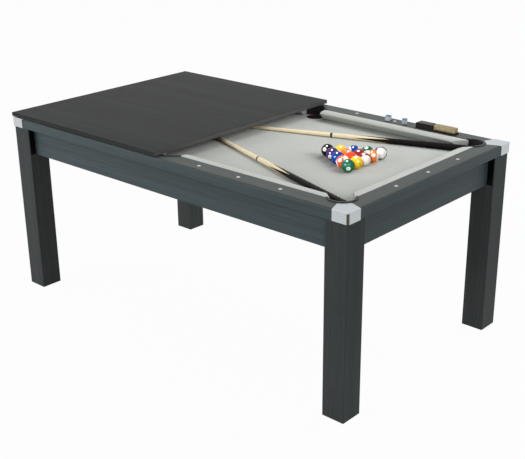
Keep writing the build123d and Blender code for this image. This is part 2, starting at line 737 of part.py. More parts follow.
# Cues: tapered evenly from tip to butt, so the whole underside lies along the cloth
cue_length = cue_shaft_length + cue_butt_length
cue_slope = (cue_butt_diameter - cue_tip_diameter) / 2 / cue_length
cue_tilt = atan(cue_slope)
cue_joint_radius = cue_tip_diameter / 2 + cue_slope * cue_shaft_length
cue_joint_z = cloth_top + rest_gap + cue_joint_radius * cos(cue_tilt)
for cue_name, (side, from_end, from_side, angle) in cue_places.items():
    joint_x = nose_x - from_end
    joint_y = side * (nose_y - from_side)
    along_x = cos(radians(angle))
    along_y = side * sin(radians(angle))
    cue_direction = (along_x * cos(cue_tilt), along_y * cos(cue_tilt), sin(cue_tilt))
    cue_plane = Plane((joint_x, joint_y, cue_joint_z), x_dir=cue_direction, z_dir=(along_y, -along_x, 0))
    cue_axis = Axis((joint_x, joint_y, cue_joint_z), cue_direction)
    with BuildPart() as shaft:
        with BuildSketch(cue_plane):
            Polygon(
                (0, 0),
                (0, cue_joint_radius),
                (-cue_shaft_length, cue_tip_diameter / 2),
                (-cue_shaft_length, 0),
                align=None,
            )
        revolve(axis=cue_axis)
        fillet(shaft.edges().filter_by(GeomType.CIRCLE).sort_by(cue_axis)[0], cue_tip_radius)
    save(shaft.part, f"{cue_name}_shaft")
    with BuildPart() as butt:
        with BuildSketch(cue_plane):
            Polygon(
                (0, 0),
                (cue_butt_length, 0),
                (cue_butt_length, cue_butt_diameter / 2),
                (0, cue_joint_radius),
                align=None,
            )
        revolve(axis=cue_axis)
        fillet(butt.edges().filter_by(GeomType.CIRCLE).sort_by(cue_axis)[-1], cue_end_radius)
    save(butt.part, f"{cue_name}_butt")

# Chalk cubes with a shallow worn bowl on top
chalk_base = rail_top + rest_gap
bowl_radius = (chalk_bowl_diameter ** 2 / 4 + chalk_bowl_depth ** 2) / (2 * chalk_bowl_depth)
for chalk_name, (chalk_x, chalk_inset, turn) in chalk_places.items():
    chalk_y = rail_middle_y - chalk_inset
    with BuildPart() as chalk:
        with BuildSketch(Plane.XY.offset(chalk_base)):
            with Locations((chalk_x, chalk_y)):
                Rectangle(chalk_size, chalk_size, rotation=turn)
        extrude(amount=chalk_size)
        chamfer(chalk.edges(), chalk_edge)
        with Locations((chalk_x, chalk_y, chalk_base + chalk_size - chalk_bowl_depth + bowl_radius)):
            Sphere(bowl_radius, mode=Mode.SUBTRACT)
    save(chalk.part, chalk_name)

# Brush back: a rounded grip that runs on as a thin head
brush_base = rail_top + rest_gap
brush_middle = rail_middle_y - brush_inset
brush_length = brush_grip_length + brush_head_length
brush_neck = brush_start + brush_grip_length
brush_end = brush_start + brush_length
with BuildPart() as brush_back:
    with BuildSketch(Plane.XZ.offset(-brush_middle)) as brush_side:
        Polygon(
            (brush_start, brush_base),
            (brush_end, brush_base),
            (brush_end, brush_base + brush_head_height),
            (brush_neck, brush_base + brush_head_height),
            (brush_neck, brush_base + brush_grip_height),
            (brush_start, brush_base + brush_grip_height),
            align=None,
        )
        fillet(brush_side.vertices().group_by(Axis.Y)[-1], brush_grip_radius)
    extrude(amount=brush_width / 2, both=True)
    with BuildSketch(Plane.XY.offset(brush_base)):
        with Locations(((brush_start + brush_end) / 2, brush_middle)):
            RectangleRounded(brush_length, brush_width, brush_corner_radius)
    extrude(amount=brush_grip_height, mode=Mode.INTERSECT)
save(brush_back.part, "brush_back")

# Bristles: rows of three-sided strands standing on a strip of the brush's head
strip_base = brush_base + brush_head_height
strip_top = strip_base + strip_thickness
strip_length = brush_head_length - 2 * strip_margin
strip_width = brush_width - 2 * strip_margin
strip_centre = (brush_neck + brush_head_length / 2, brush_middle)
bristle_pitch_x = strip_length / bristle_columns
bristle_pitch_y = strip_width / bristle_rows
with BuildPart() as bristles:
    with BuildSketch(Plane.XY.offset(strip_base)):
        with Locations(strip_centre):
            Rectangle(strip_length, strip_width)
    extrude(amount=strip_thickness)
    with BuildSketch(Plane.XY.offset(strip_top)):
        with Locations(strip_centre):
            with GridLocations(bristle_pitch_x, bristle_pitch_y, bristle_columns, bristle_rows):
                RegularPolygon(bristle_radius, 3)
    extrude(amount=bristle_length)
save(bristles.part, "brush_bristles")
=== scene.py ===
"""Dresses a pool table that turns into a dining table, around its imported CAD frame."""

import json
import logging
import math
import random
from dataclasses import dataclass
from enum import Enum
from typing import Iterable, Sequence

import bmesh
import bpy
from mathutils import Matrix, Vector

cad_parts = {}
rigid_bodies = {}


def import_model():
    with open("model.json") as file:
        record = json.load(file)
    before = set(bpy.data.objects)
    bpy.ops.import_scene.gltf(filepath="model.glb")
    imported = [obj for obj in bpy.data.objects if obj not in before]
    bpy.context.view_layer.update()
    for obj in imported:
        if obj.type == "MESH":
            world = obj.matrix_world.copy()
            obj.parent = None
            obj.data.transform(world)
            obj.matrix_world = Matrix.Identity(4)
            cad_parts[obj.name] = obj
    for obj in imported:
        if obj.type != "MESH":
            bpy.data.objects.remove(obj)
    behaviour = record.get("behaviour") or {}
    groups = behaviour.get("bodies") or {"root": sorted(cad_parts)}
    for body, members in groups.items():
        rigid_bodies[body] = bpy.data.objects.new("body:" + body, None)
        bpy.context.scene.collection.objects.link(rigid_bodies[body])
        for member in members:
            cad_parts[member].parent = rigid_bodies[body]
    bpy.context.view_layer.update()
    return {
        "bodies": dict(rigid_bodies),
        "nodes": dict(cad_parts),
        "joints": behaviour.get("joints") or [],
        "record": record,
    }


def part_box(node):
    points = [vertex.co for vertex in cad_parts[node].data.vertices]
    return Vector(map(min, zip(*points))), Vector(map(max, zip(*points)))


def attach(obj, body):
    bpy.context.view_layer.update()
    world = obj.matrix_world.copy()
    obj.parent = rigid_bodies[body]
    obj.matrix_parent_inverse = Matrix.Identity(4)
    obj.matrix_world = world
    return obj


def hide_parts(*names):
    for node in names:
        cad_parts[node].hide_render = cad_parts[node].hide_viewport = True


LOG = logging.getLogger("pool_table")
CORNERS = ("back_right", "front_right", "back_left", "front_left")
TABLE = "table"
JOIN_DISTANCE = 1e-5

Colour = tuple[float, float, float, float]
Tones = tuple[Colour, Colour]
Triple = tuple[float, float, float]
Point = tuple[float, float]
Socket = bpy.types.NodeSocket
Sockets = bpy.types.bpy_prop_collection
Material = bpy.types.Material
Mesh = bpy.types.Mesh
Piece = bpy.types.Object


def rgb(red: float, green: float, blue: float) -> Colour:
    """Gives an opaque colour from three linear parts."""
    return (red, green, blue, 1.0)


class Grain(Enum):
    """The axis that a wood grain runs along."""

    ALONG_X = 0
    ALONG_Y = 1
    ALONG_Z = 2


class BallColour(Enum):
    """The eight colours of a set of pool balls."""

    YELLOW = rgb(0.96, 0.56, 0.010)
    BLUE = rgb(0.001, 0.058, 0.33)
    RED = rgb(0.80, 0.060, 0.012)
    PURPLE = rgb(0.075, 0.026, 0.15)
    ORANGE = rgb(0.90, 0.19, 0.028)
    GREEN = rgb(0.0, 0.14, 0.066)
    MAROON = rgb(0.29, 0.012, 0.014)
    BLACK = rgb(0.008, 0.008, 0.009)


class CuePart(Enum):
    """The two turned pieces of a cue."""

    SHAFT = "shaft"
    BUTT = "butt"


class Ends(Enum):
    """How a skinned row of loops ends: with faces, in tips, or joined last to first."""

    CAPPED = "capped"
    TIPPED = "tipped"
    JOINED = "joined"


class Graph:
    """A node tree being built, with short calls for the nodes that the finishes use."""

    def __init__(self, tree: bpy.types.NodeTree) -> None:
        """Takes an empty shader node tree to build in."""
        self.tree = tree

    def put(self, socket: Socket, value: object) -> None:
        """Links another socket to this one, or sets a plain value on it.

        Args:
            socket: the input to feed.
            value: a socket, or the input's own value.
        """
        if isinstance(value, Socket):
            self.tree.links.new(value, socket)
        else:
            socket.default_value = value

    def add(self, kind: str, inputs: dict | None = None, **settings: object) -> bpy.types.Node:
        """Adds a node.

        Args:
            kind: the node's type name.
            inputs: what goes into its inputs, by name or number.
            settings: properties to set on it first.

        Returns:
            The new node.
        """
        node = self.tree.nodes.new(kind)
        for name, value in settings.items():
            setattr(node, name, value)
        for name, value in (inputs or {}).items():
            self.put(node.inputs[name], value)
        return node

    def math(self, operation: str, first: object, second: object = 0.0) -> Socket:
        """Gives the result of one calculation with numbers or sockets."""
        return self.add("ShaderNodeMath", {0: first, 1: second}, operation=operation).outputs[0]

    def plus(self, first: object, second: object) -> Socket:
        """Gives the sum of two numbers or sockets."""
        return self.math("ADD", first, second)

    def minus(self, first: object, second: object) -> Socket:
        """Gives the first number or socket less the second."""
        return self.math("SUBTRACT", first, second)

    def times(self, first: object, second: object) -> Socket:
        """Gives the product of two numbers or sockets."""
        return self.math("MULTIPLY", first, second)

    def unsigned(self, value: Socket) -> Socket:
        """Gives a value without its sign."""
        return self.math("ABSOLUTE", value)

    def mix(self, factor: object, first: object, second: object) -> Socket:
        """Mixes two colours, the first where the factor is 0 and the second where it is 1."""
        inputs = {0: factor, 6: first, 7: second}
        return self.add("ShaderNodeMix", inputs, data_type="RGBA").outputs[2]

    def noise(self, vector: object, scale: object, detail: float, rough: float) -> Socket:
        """Gives a noise pattern, about 0.5 on average, with finer layers by detail and rough."""
        inputs = {"Vector": vector, "Scale": scale, "Detail": detail, "Roughness": rough}
        return self.add("ShaderNodeTexNoise", inputs).outputs[0]

    def step(self, value: object, low: float, high: float) -> Socket:
        """Turns a value into a soft step from 0 at low to 1 at high."""
        inputs = {"Value": value, "From Min": low, "From Max": high}
        return self.add("ShaderNodeMapRange", inputs, interpolation_type="SMOOTHSTEP").outputs[0]

    def spread(self, value: object, low: float, high: float) -> Socket:
        """Spreads a value of 0 to 1 over the range from low to high."""
        inputs = {"Value": value, "To Min": low, "To Max": high}
        return self.add("ShaderNodeMapRange", inputs).outputs[0]

    def parts(self, vector: object) -> tuple[Socket, ...]:
        """Splits a vector into its three sockets."""
        return tuple(self.add("ShaderNodeSeparateXYZ", {0: vector}).outputs)

    def scaled(self, vector: object, factors: Sequence[float]) -> Socket:
        """Stretches a vector by one factor for each axis."""
        return self.add("ShaderNodeMapping", {"Vector": vector, "Scale": tuple(factors)}).outputs[0]

    def normal(self, kind: str = "Normal") -> Socket:
        """Gives the surface's direction, smooth or true."""
        return self.add("ShaderNodeNewGeometry").outputs[kind]

    def group(self, tree: bpy.types.NodeTree, **values: object) -> Sockets:
        """Places a shared effect with values for its named inputs, and gives its outputs."""
        return self.add("ShaderNodeGroup", values, node_tree=tree).outputs


class Effect(Graph):
    """A shared shader node group being built, with named inputs and outputs."""

    KINDS = {
        "Position": "NodeSocketVector",
        "Dark": "NodeSocketColor",
        "Light": "NodeSocketColor",
        "Colour": "NodeSocketColor",
    }

    def __init__(self, name: str, takes: str, gives: str) -> None:
        """Starts the group with its sockets.

        Args:
            name: the group's name.
            takes: the names of its inputs.
            gives: the names of its outputs.
        """
        super().__init__(bpy.data.node_groups.new(name, "ShaderNodeTree"))
        for way, labels in (("INPUT", takes), ("OUTPUT", gives)):
            for label in labels.split():
                kind = self.KINDS.get(label, "NodeSocketFloat")
                self.tree.interface.new_socket(name=label, in_out=way, socket_type=kind)
        source = self.add("NodeGroupInput")
        self.takes = [source.outputs[label] for label in takes.split()]

    def give(self, **values: Socket) -> bpy.types.NodeTree:
        """Feeds the group's named outputs and gives the finished group."""
        self.add("NodeGroupOutput", values)
        return self.tree


class Effects:
    """The node groups that several finishes share, each built once."""

    def __init__(self) -> None:
        """Builds every group."""
        self.grain = self._grain()
        self.weave = self._weave()
        self.wear = self._wear()
        self.dust = self._dust()
        self.fibre = self._fibre()

    def _grain(self) -> bpy.types.NodeTree:
        """Builds wood grain along the first axis.

        Returns:
            A group with broad bands, fine streaks and dark open pores.
        """
        effect = Effect("wood_grain", "Position Dark Light Contrast", "Colour Height Streak")
        position, dark, light, contrast = effect.takes
        streak = effect.noise(position, scale=1.0, detail=8.0, rough=0.68)
        bands = effect.noise(position, scale=0.16, detail=3.0, rough=0.5)
        pores = effect.step(effect.noise(position, scale=3.2, detail=3.0, rough=0.6), 0.57, 0.68)
        both = effect.plus(effect.times(streak, 0.6), effect.times(bands, 0.4))
        swing = effect.times(effect.minus(both, 0.5), contrast)
        tone = effect.minus(effect.plus(swing, 0.5), effect.times(pores, 0.22))
        return effect.give(
            Colour=effect.mix(effect.step(tone, 0.0, 1.0), dark, light),
            Height=effect.minus(streak, pores),
            Streak=streak,
        )

    def _weave(self) -> bpy.types.NodeTree:
        """Builds a close wool weave.

        Returns:
            A group with crossing threads, a short nap over them and soft clouds.
        """
        effect = Effect("cloth_weave", "Position Thread Dark Light", "Colour Height")
        position, thread, dark, light = effect.takes
        across, along, up = effect.parts(position)
        first = effect.math("SINE", effect.times(effect.plus(across, up), thread))
        second = effect.math("SINE", effect.times(effect.plus(along, up), thread))
        weave = effect.times(first, second)
        nap = effect.noise(position, scale=900.0, detail=4.0, rough=0.7)
        cloud = effect.noise(position, scale=7.0, detail=3.0, rough=0.5)
        tone = effect.plus(effect.times(weave, 0.12), effect.times(nap, 0.6))
        tone = effect.plus(tone, effect.times(cloud, 0.4))
        return effect.give(
            Colour=effect.mix(effect.step(tone, 0.05, 0.95), dark, light),
            Height=effect.plus(effect.times(weave, 0.5), nap),
        )

    def _wear(self) -> bpy.types.NodeTree:
        """Builds a mask of rubbed edges.

        Returns:
            A group that finds where the rounded normal leaves the true one.
        """
        effect = Effect("edge_wear", "Position Radius Amount", "Mask")
        position, radius, amount = effect.takes
        bevel = effect.add("ShaderNodeBevel", {"Radius": radius}, samples=4).outputs[0]
        directions = {0: bevel, 1: effect.normal()}
        dot = effect.add("ShaderNodeVectorMath", directions, operation="DOT_PRODUCT")
        bent = effect.minus(1.0, dot.outputs["Value"])
        patchy = effect.spread(effect.noise(position, scale=60.0, detail=3.0, rough=0.55), 0.4, 1.3)
        mask = effect.times(effect.step(bent, 0.03, 0.22), patchy)
        return effect.give(Mask=effect.times(mask, amount))

    def _dust(self) -> bpy.types.NodeTree:
        """Builds a thin uneven film of dust and touch marks.

        Returns:
            A group that gives the film's mask.
        """
        effect = Effect("dust_film", "Position Scale Amount", "Mask")
        position, scale, amount = effect.takes
        large = effect.noise(position, scale=scale, detail=5.0, rough=0.6)
        fine = effect.noise(position, scale=effect.times(scale, 23.0), detail=3.0, rough=0.6)
        film = effect.times(effect.step(large, 0.35, 0.75), effect.spread(fine, 0.5, 1.2))
        return effect.give(Mask=effect.times(film, amount))

    def _fibre(self) -> bpy.types.NodeTree:
        """Builds a speckle of short fibres or fine moulding texture.

        Returns:
            A group that gives the speckle's colour and height.
        """
        effect = Effect("fibre_speckle", "Position Scale Dark Light", "Colour Height")
        position, scale, dark, light = effect.takes
        fine = effect.noise(position, scale=scale, detail=5.0, rough=0.7)
        coarse = effect.noise(position, scale=effect.times(scale, 0.13), detail=3.0, rough=0.5)
        tone = effect.plus(effect.times(fine, 0.65), effect.times(coarse, 0.35))
        return effect.give(
            Colour=effect.mix(effect.step(tone, 0.25, 0.75), dark, light), Height=fine
        )


class Dressed(Graph):
    """A new material with its shader, ready for a finish to fill in."""

    def __init__(self, name: str, effects: Effects) -> None:
        """Makes the material.

        Args:
            name: the material's name.
            effects: the shared node groups.
        """
        self.material = bpy.data.materials.new(name)
        self.material.use_nodes = True
        super().__init__(self.material.node_tree)
        self.tree.nodes.clear()
        self.effects = effects
        self.shader = self.add("ShaderNodeBsdfPrincipled")
        self.add("ShaderNodeOutputMaterial", {"Surface": self.shader.outputs[0]})
        self.place = self.add("ShaderNodeTexCoord").outputs["Object"]

    def feed(self, **values: object) -> None:
        """Feeds the shader's sockets, named with underscores for spaces."""
        for name, value in values.items():
            self.put(self.shader.inputs[name.replace("_", " ")], value)

    def bump(self, height: Socket, strength: float, depth: float) -> None:
        """Raises the surface by a pattern, with its depth in metres."""
        inputs = {"Strength": strength, "Distance": depth, "Height": height}
        self.feed(Normal=self.add("ShaderNodeBump", inputs).outputs[0])

    def grain(self, position: Socket, dark: object, light: object, contrast: float) -> Sockets:
        """Places wood grain at a stretched position."""
        values = {"Position": position, "Dark": dark, "Light": light, "Contrast": contrast}
        return self.group(self.effects.grain, **values)

    def fibre(self, dark: Colour, light: Colour, scale: float) -> Sockets:
        """Places the fibre speckle."""
        values = {"Position": self.place, "Scale": scale, "Dark": dark, "Light": light}
        return self.group(self.effects.fibre, **values)

    def wear(self, radius: float, amount: float) -> Socket:
        """Places edge wear and gives its mask."""
        values = {"Position": self.place, "Radius": radius, "Amount": amount}
        return self.group(self.effects.wear, **values)["Mask"]

    def dust(self, scale: float, amount: float) -> Socket:
        """Places the dust film and gives its mask."""
        values = {"Position": self.place, "Scale": scale, "Amount": amount}
        return self.group(self.effects.dust, **values)["Mask"]


@dataclass(frozen=True)
class Finish:
    """A named material that feeds its own shader."""

    name: str

    def build(self, effects: Effects) -> Material:
        """Builds the material.

        Args:
            effects: the shared node groups.

        Returns:
            The finished material.
        """
        made = Dressed(self.name, effects)
        self.fill(made)
        return made.material

    def fill(self, made: Dressed) -> None:
        """Feeds a new material's shader, in each finish's own way."""
        raise NotImplementedError


@dataclass(frozen=True)
class GrainFinish(Finish):
    """Wood, or laminate printed and pressed like wood, with its grain along one axis."""

    dark: Colour
    light: Colour
    along: Grain
    contrast: float = 1.3
    density: float = 150.0
    run: float = 3.0
    roughness: float = 0.46
    specular: float = 0.2
    worn: Colour = rgb(0.10, 0.11, 0.11)
    wear: float = 0.35
    dusty: Colour = rgb(0.4, 0.4, 0.39)
    raw_from: Point | None = None
    raw: Tones = (rgb(0.10, 0.082, 0.035), rgb(0.21, 0.172, 0.075))
    band: Colour | None = None
    # painted shade for the recesses beside the cabinet sides: the limits of the leg faces that it
    # covers, and its colour
    cheek: Triple | None = None
    black: Colour = rgb(0.003, 0.003, 0.0035)
    # tones of the upright and downward faces; the finish's own tones then go only on faces that
    # look up, as painted warm top light
    flank: Tones | None = None

    def fill(self, made: Dressed) -> None:
        """Feeds the grain with its rubbed edges and dust.

        Args:
            made: the new material.
        """
        factors = [self.density] * 3
        factors[self.along.value] = self.run
        grain = made.grain(made.scaled(made.place, factors), *self._tones(made), self.contrast)
        dust = made.dust(scale=5.0, amount=0.5)
        wear = made.wear(radius=0.0016, amount=self.wear)
        colour = made.mix(wear, grain["Colour"], self.worn)
        colour = made.mix(made.times(dust, 0.05), colour, self.dusty)
        if self.raw_from:
            colour = self._raw_corner(made, colour)
        if self.band:
            colour = self._edge_band(made, colour)
        # painted shade: the leg's inner faces in the recesses under the rail are made very dark
        if self.cheek:
            colour = self._cheeks(made, colour)
        shine = made.spread(grain["Streak"], self.roughness - 0.1, self.roughness + 0.12)
        made.feed(
            Base_Color=colour,
            Roughness=made.plus(shine, made.times(dust, 0.12)),
            Specular_IOR_Level=self.specular,
        )
        made.bump(grain["Height"], strength=0.35, depth=0.0004)

    def _tones(self, made: Dressed) -> tuple[object, object]:
        """Gives the grain's colours; where upright faces have their own tones, faces that look up
        get the finish's own, a warmer copy that paints light from above.

        Args:
            made: the new material.

        Returns:
            The dark and the light colour, or their sockets.
        """
        if not self.flank:
            return self.dark, self.light
        # painted light: faces that look up take the warmer top tones, upright and downward faces
        # the upright ones
        flat = made.step(made.parts(made.normal())[2], 0.25, 0.85)
        dark, light = self.flank
        return made.mix(flat, dark, self.dark), made.mix(flat, light, self.light)

    def _raw_corner(self, made: Dressed, colour: Socket) -> Socket:
        """Shows bare fibreboard at the table's outer corners, in the seams of the caps.

        Args:
            made: the new material.
            colour: the colour elsewhere.

        Returns:
            The colour with its bare corners.
        """
        fibre = made.fibre(*self.raw, scale=700.0)
        across, along, _ = made.parts(made.place)
        past_x = made.math("GREATER_THAN", made.unsigned(across), self.raw_from[0])
        past_y = made.math("GREATER_THAN", made.unsigned(along), self.raw_from[1])
        return made.mix(made.times(past_x, past_y), colour, fibre["Colour"])

    def _edge_band(self, made: Dressed, colour: Socket) -> Socket:
        """Lightens a board's upright edges: slightly on every side, and fully on faces that look
        along +X.

        Args:
            made: the new material.
            colour: the colour elsewhere.

        Returns:
            The colour with its lighter upright edges.
        """
        toward_x, _, up = made.parts(made.normal("True Normal"))
        flat = made.step(made.unsigned(up), 0.3, 0.9)
        share = made.spread(made.step(toward_x, 0.3, 0.7), 0.08, 1.0)
        return made.mix(flat, made.mix(share, colour, self.band), colour)

    def _cheeks(self, made: Dressed, colour: Socket) -> Socket:
        """Paints deep shade on a leg's inner faces above the aprons' lower edge, in the recesses
        beside the cabinet sides.

        Args:
            made: the new material.
            colour: the colour elsewhere.

        Returns:
            The colour with the painted shade in the leg's recesses.
        """
        across, along, up = made.parts(made.place)
        inside_x = made.math("LESS_THAN", made.unsigned(across), self.cheek[0])
        inside_y = made.math("LESS_THAN", made.unsigned(along), self.cheek[1])
        high = made.math("GREATER_THAN", up, self.cheek[2])
        inside = made.times(made.times(inside_x, inside_y), high)
        return made.mix(inside, colour, self.black)


@dataclass(frozen=True)
class ClothFinish(Finish):
    """Close grey wool cloth."""

    dark: Colour
    light: Colour
    thread: float = 5200.0
    chalky: Colour = rgb(0.72, 0.72, 0.69)

    def fill(self, made: Dressed) -> None:
        """Feeds the weave with a little chalk dust.

        Args:
            made: the new material.
        """
        values = {"Thread": self.thread, "Dark": self.dark, "Light": self.light}
        weave = made.group(made.effects.weave, Position=made.place, **values)
        dust = made.dust(scale=3.0, amount=0.5)
        made.feed(
            Base_Color=made.mix(made.times(dust, 0.06), weave["Colour"], self.chalky),
            Roughness=made.spread(dust, 0.86, 0.96),
            Sheen_Weight=0.25,
            Sheen_Roughness=0.5,
            Specular_IOR_Level=0.2,
        )
        made.bump(weave["Height"], strength=0.3, depth=0.0004)


@dataclass(frozen=True)
class SpeckleFinish(Finish):
    """Moulded plastic, felt, fibreboard, leather or rubber with a fine even texture."""

    dark: Colour
    light: Colour
    scale: float = 900.0
    roughness: float = 0.45
    specular: float = 0.3
    bump: float = 0.2
    depth: float = 0.0002
    sheen: float = 0.0
    wear: float = 0.0
    worn: Colour = rgb(0.2, 0.2, 0.2)

    def fill(self, made: Dressed) -> None:
        """Feeds the speckle with its rubbed edges, which on the pocket liners are also a painted
        highlight.

        Args:
            made: the new material.
        """
        fibre = made.fibre(self.dark, self.light, self.scale)
        wear = made.wear(radius=0.001, amount=self.wear)
        dust = made.dust(scale=14.0, amount=0.6)
        made.feed(
            Base_Color=made.mix(wear, fibre["Colour"], self.worn),
            Roughness=made.spread(dust, self.roughness - 0.05, self.roughness + 0.2),
            Specular_IOR_Level=self.specular,
            Sheen_Weight=self.sheen,
        )
        made.bump(fibre["Height"], self.bump, self.depth)


@dataclass(frozen=True)
class MetalFinish(Finish):
    """Satin metal with a fine rolled grain."""

    dark: Colour
    light: Colour
    roughness: float = 0.34
    metallic: float = 1.0
    rolled: Triple = (900.0, 900.0, 60.0)
    bright: Colour = rgb(0.85, 0.86, 0.87)

    def fill(self, made: Dressed) -> None:
        """Feeds the rolled grain with its bright edges and touch marks.

        Args:
            made: the new material.
        """
        position = made.scaled(made.place, self.rolled)
        grain = made.grain(position, self.dark, self.light, contrast=0.8)
        wear = made.wear(radius=0.0012, amount=0.5)
        dust = made.dust(scale=30.0, amount=0.7)
        made.feed(
            Base_Color=made.mix(wear, grain["Colour"], self.bright),
            Roughness=made.spread(dust, self.roughness, self.roughness + 0.16),
            Metallic=self.metallic,
        )
        made.bump(grain["Height"], strength=0.08, depth=0.0001)


@dataclass(frozen=True)
class BallFinish(Finish):
    """Polished resin with white number discs, and for the higher numbers white ends."""

    colour: BallColour
    striped: bool
    radius: float
    band: float = 0.54
    disc: float = 0.945
    ivory: Tones = (rgb(0.86, 0.84, 0.75), rgb(0.93, 0.91, 0.83))
    dusty: Colour = rgb(0.6, 0.6, 0.58)

    def fill(self, made: Dressed) -> None:
        """Feeds the resin with its ivory ends and discs.

        Args:
            made: the new material.
        """
        ivory = made.fibre(*self.ivory, scale=160.0)["Colour"]
        first, _, third = made.parts(made.scaled(made.place, [1 / self.radius] * 3))
        dust = made.dust(scale=70.0, amount=0.6)
        resin = made.mix(made.times(dust, 0.004), self.colour.value, self.dusty)
        if self.striped:
            ends = made.step(made.unsigned(third), self.band - 0.01, self.band + 0.01)
            resin = made.mix(ends, resin, ivory)
        disc = made.step(made.unsigned(first), self.disc - 0.003, self.disc + 0.003)
        made.feed(
            Base_Color=made.mix(disc, resin, ivory),
            Roughness=made.spread(dust, 0.04, 0.11),
            Specular_IOR_Level=0.11,
        )


@dataclass(frozen=True)
class CueShape:
    """One cue's taper and where it lies, in metres and radians."""

    name: str
    joint: Point
    heading: float
    tip_radius: float = 0.00475
    butt_radius: float = 0.014
    shaft: float = 0.61
    butt: float = 0.61
    floor: float = 0.7593

    @property
    def slope(self) -> float:
        """Gives how fast the radius grows towards the butt."""
        return (self.butt_radius - self.tip_radius) / (self.shaft + self.butt)

    def radius(self, along: float) -> float:
        """Gives the radius at a distance from the joint, towards the butt."""
        return self.tip_radius + self.slope * (self.shaft + along)

    def frame(self) -> Matrix:
        """Gives the cue's own frame.

        Returns:
            A frame with X towards the butt from the joint's middle.
        """
        tilt = math.atan(self.slope)
        centre = Vector((*self.joint, self.floor + self.radius(0.0) * math.cos(tilt)))
        turn = Matrix.Rotation(self.heading, 4, "Z") @ Matrix.Rotation(-tilt, 4, "Y")
        return Matrix.Translation(centre) @ turn


@dataclass(frozen=True)
class CueFinish(Finish):
    """Varnished maple that runs into four dark points, along one cue's own frame."""

    part: CuePart
    shape: CueShape
    point_start: float = 0.1
    point_length: float = 0.16
    points: float = 4.0
    bumper: float = 0.013
    stretch: Triple = (6.0, 420.0, 420.0)
    maple: Tones = (rgb(0.80, 0.65, 0.41), rgb(0.95, 0.85, 0.62))
    ebony: Tones = (rgb(0.003, 0.0027, 0.0027), rgb(0.013, 0.0105, 0.0095))
    veneer: Colour = rgb(0.2, 0.1, 0.05)
    rubber: Colour = rgb(0.012, 0.012, 0.013)

    def fill(self, made: Dressed) -> None:
        """Feeds the maple, and on a butt its inlay.

        Args:
            made: the new material.
        """
        frame = self.shape.frame()
        inputs = {
            "Vector": made.place,
            "Location": tuple(frame.to_translation()),
            "Rotation": tuple(frame.to_euler("XYZ")),
        }
        made.place = made.add("ShaderNodeMapping", inputs, vector_type="TEXTURE").outputs[0]
        position = made.scaled(made.place, self.stretch)
        maple = made.grain(position, *self.maple, contrast=1.1)
        colour = maple["Colour"]
        if self.part is CuePart.BUTT:
            colour = self._inlay(made, position, colour)
        dust = made.dust(scale=40.0, amount=0.5)
        shine = made.spread(dust, 0.25, 0.42)
        made.feed(Base_Color=colour, Roughness=shine, Specular_IOR_Level=0.08)
        made.bump(maple["Height"], strength=0.05, depth=0.0001)

    def _inlay(self, made: Dressed, position: Socket, maple: Socket) -> Socket:
        """Inlays the dark points and the rubber end of a butt.

        Args:
            made: the new material, with its place in the cue's frame.
            position: the same place, stretched along the grain.
            maple: the pale wood's colour.

        Returns:
            The butt's colour.
        """
        along, side, up = made.parts(made.place)
        turn = made.times(made.math("ARCTAN2", up, side), self.points / (2 * math.pi))
        saw = made.times(made.math("PINGPONG", made.plus(turn, self.points), 0.5), 2.0)
        edge = made.plus(made.times(saw, self.point_length), self.point_start)
        past = made.minus(along, edge)
        ebony = made.grain(position, *self.ebony, contrast=1.0)["Colour"]
        veneer = made.mix(made.step(past, -0.006, -0.005), maple, self.veneer)
        wood = made.mix(made.step(past, -0.001, 0.001), veneer, ebony)
        end = self.shape.butt - self.bumper
        return made.mix(made.step(along, end, end + 0.0004), wood, self.rubber)


@dataclass(frozen=True)
class ChalkFinish(Finish):
    """Pressed blue chalk in a pale paper wrap."""

    top: float
    rubbed: float = 0.007
    powder: Tones = (rgb(0.05, 0.24, 0.52), rgb(0.13, 0.42, 0.74))
    paper: Tones = (rgb(0.86, 0.89, 0.92), rgb(0.94, 0.95, 0.96))

    def fill(self, made: Dressed) -> None:
        """Feeds the bare chalk on top and the smeared paper below.

        Args:
            made: the new material.
        """
        powder = made.fibre(*self.powder, scale=1500.0)
        paper = made.fibre(*self.paper, scale=500.0)
        bare = made.step(made.parts(made.normal())[2], 0.35, 0.6)
        up = made.parts(made.place)[2]
        rubbed = made.times(made.step(up, self.top - self.rubbed, self.top), 0.75)
        smear = made.times(rubbed, made.spread(powder["Height"], 0.2, 1.2))
        blue = made.math("MAXIMUM", bare, smear)
        made.feed(
            Base_Color=made.mix(blue, paper["Colour"], powder["Colour"]),
            Roughness=made.spread(powder["Height"], 0.75, 0.95),
        )
        made.bump(powder["Height"], strength=0.3, depth=0.0003)


@dataclass(frozen=True)
class BristleFinish(Finish):
    """Cream bristle, darker at its root."""

    root: float
    length: float
    shaded: float = 0.4
    hair: Tones = (rgb(0.84, 0.72, 0.44), rgb(0.95, 0.87, 0.62))
    dark_root: Colour = rgb(0.72, 0.57, 0.30)

    def fill(self, made: Dressed) -> None:
        """Feeds the hair's colour from root to tip.

        Args:
            made: the new material.
        """
        hair = made.fibre(*self.hair, scale=700.0)
        up = made.parts(made.place)[2]
        shade = made.step(up, self.root, self.root + self.length * self.shaded)
        made.feed(
            Base_Color=made.mix(shade, self.dark_root, hair["Colour"]),
            Roughness=made.spread(hair["Height"], 0.45, 0.7),
        )


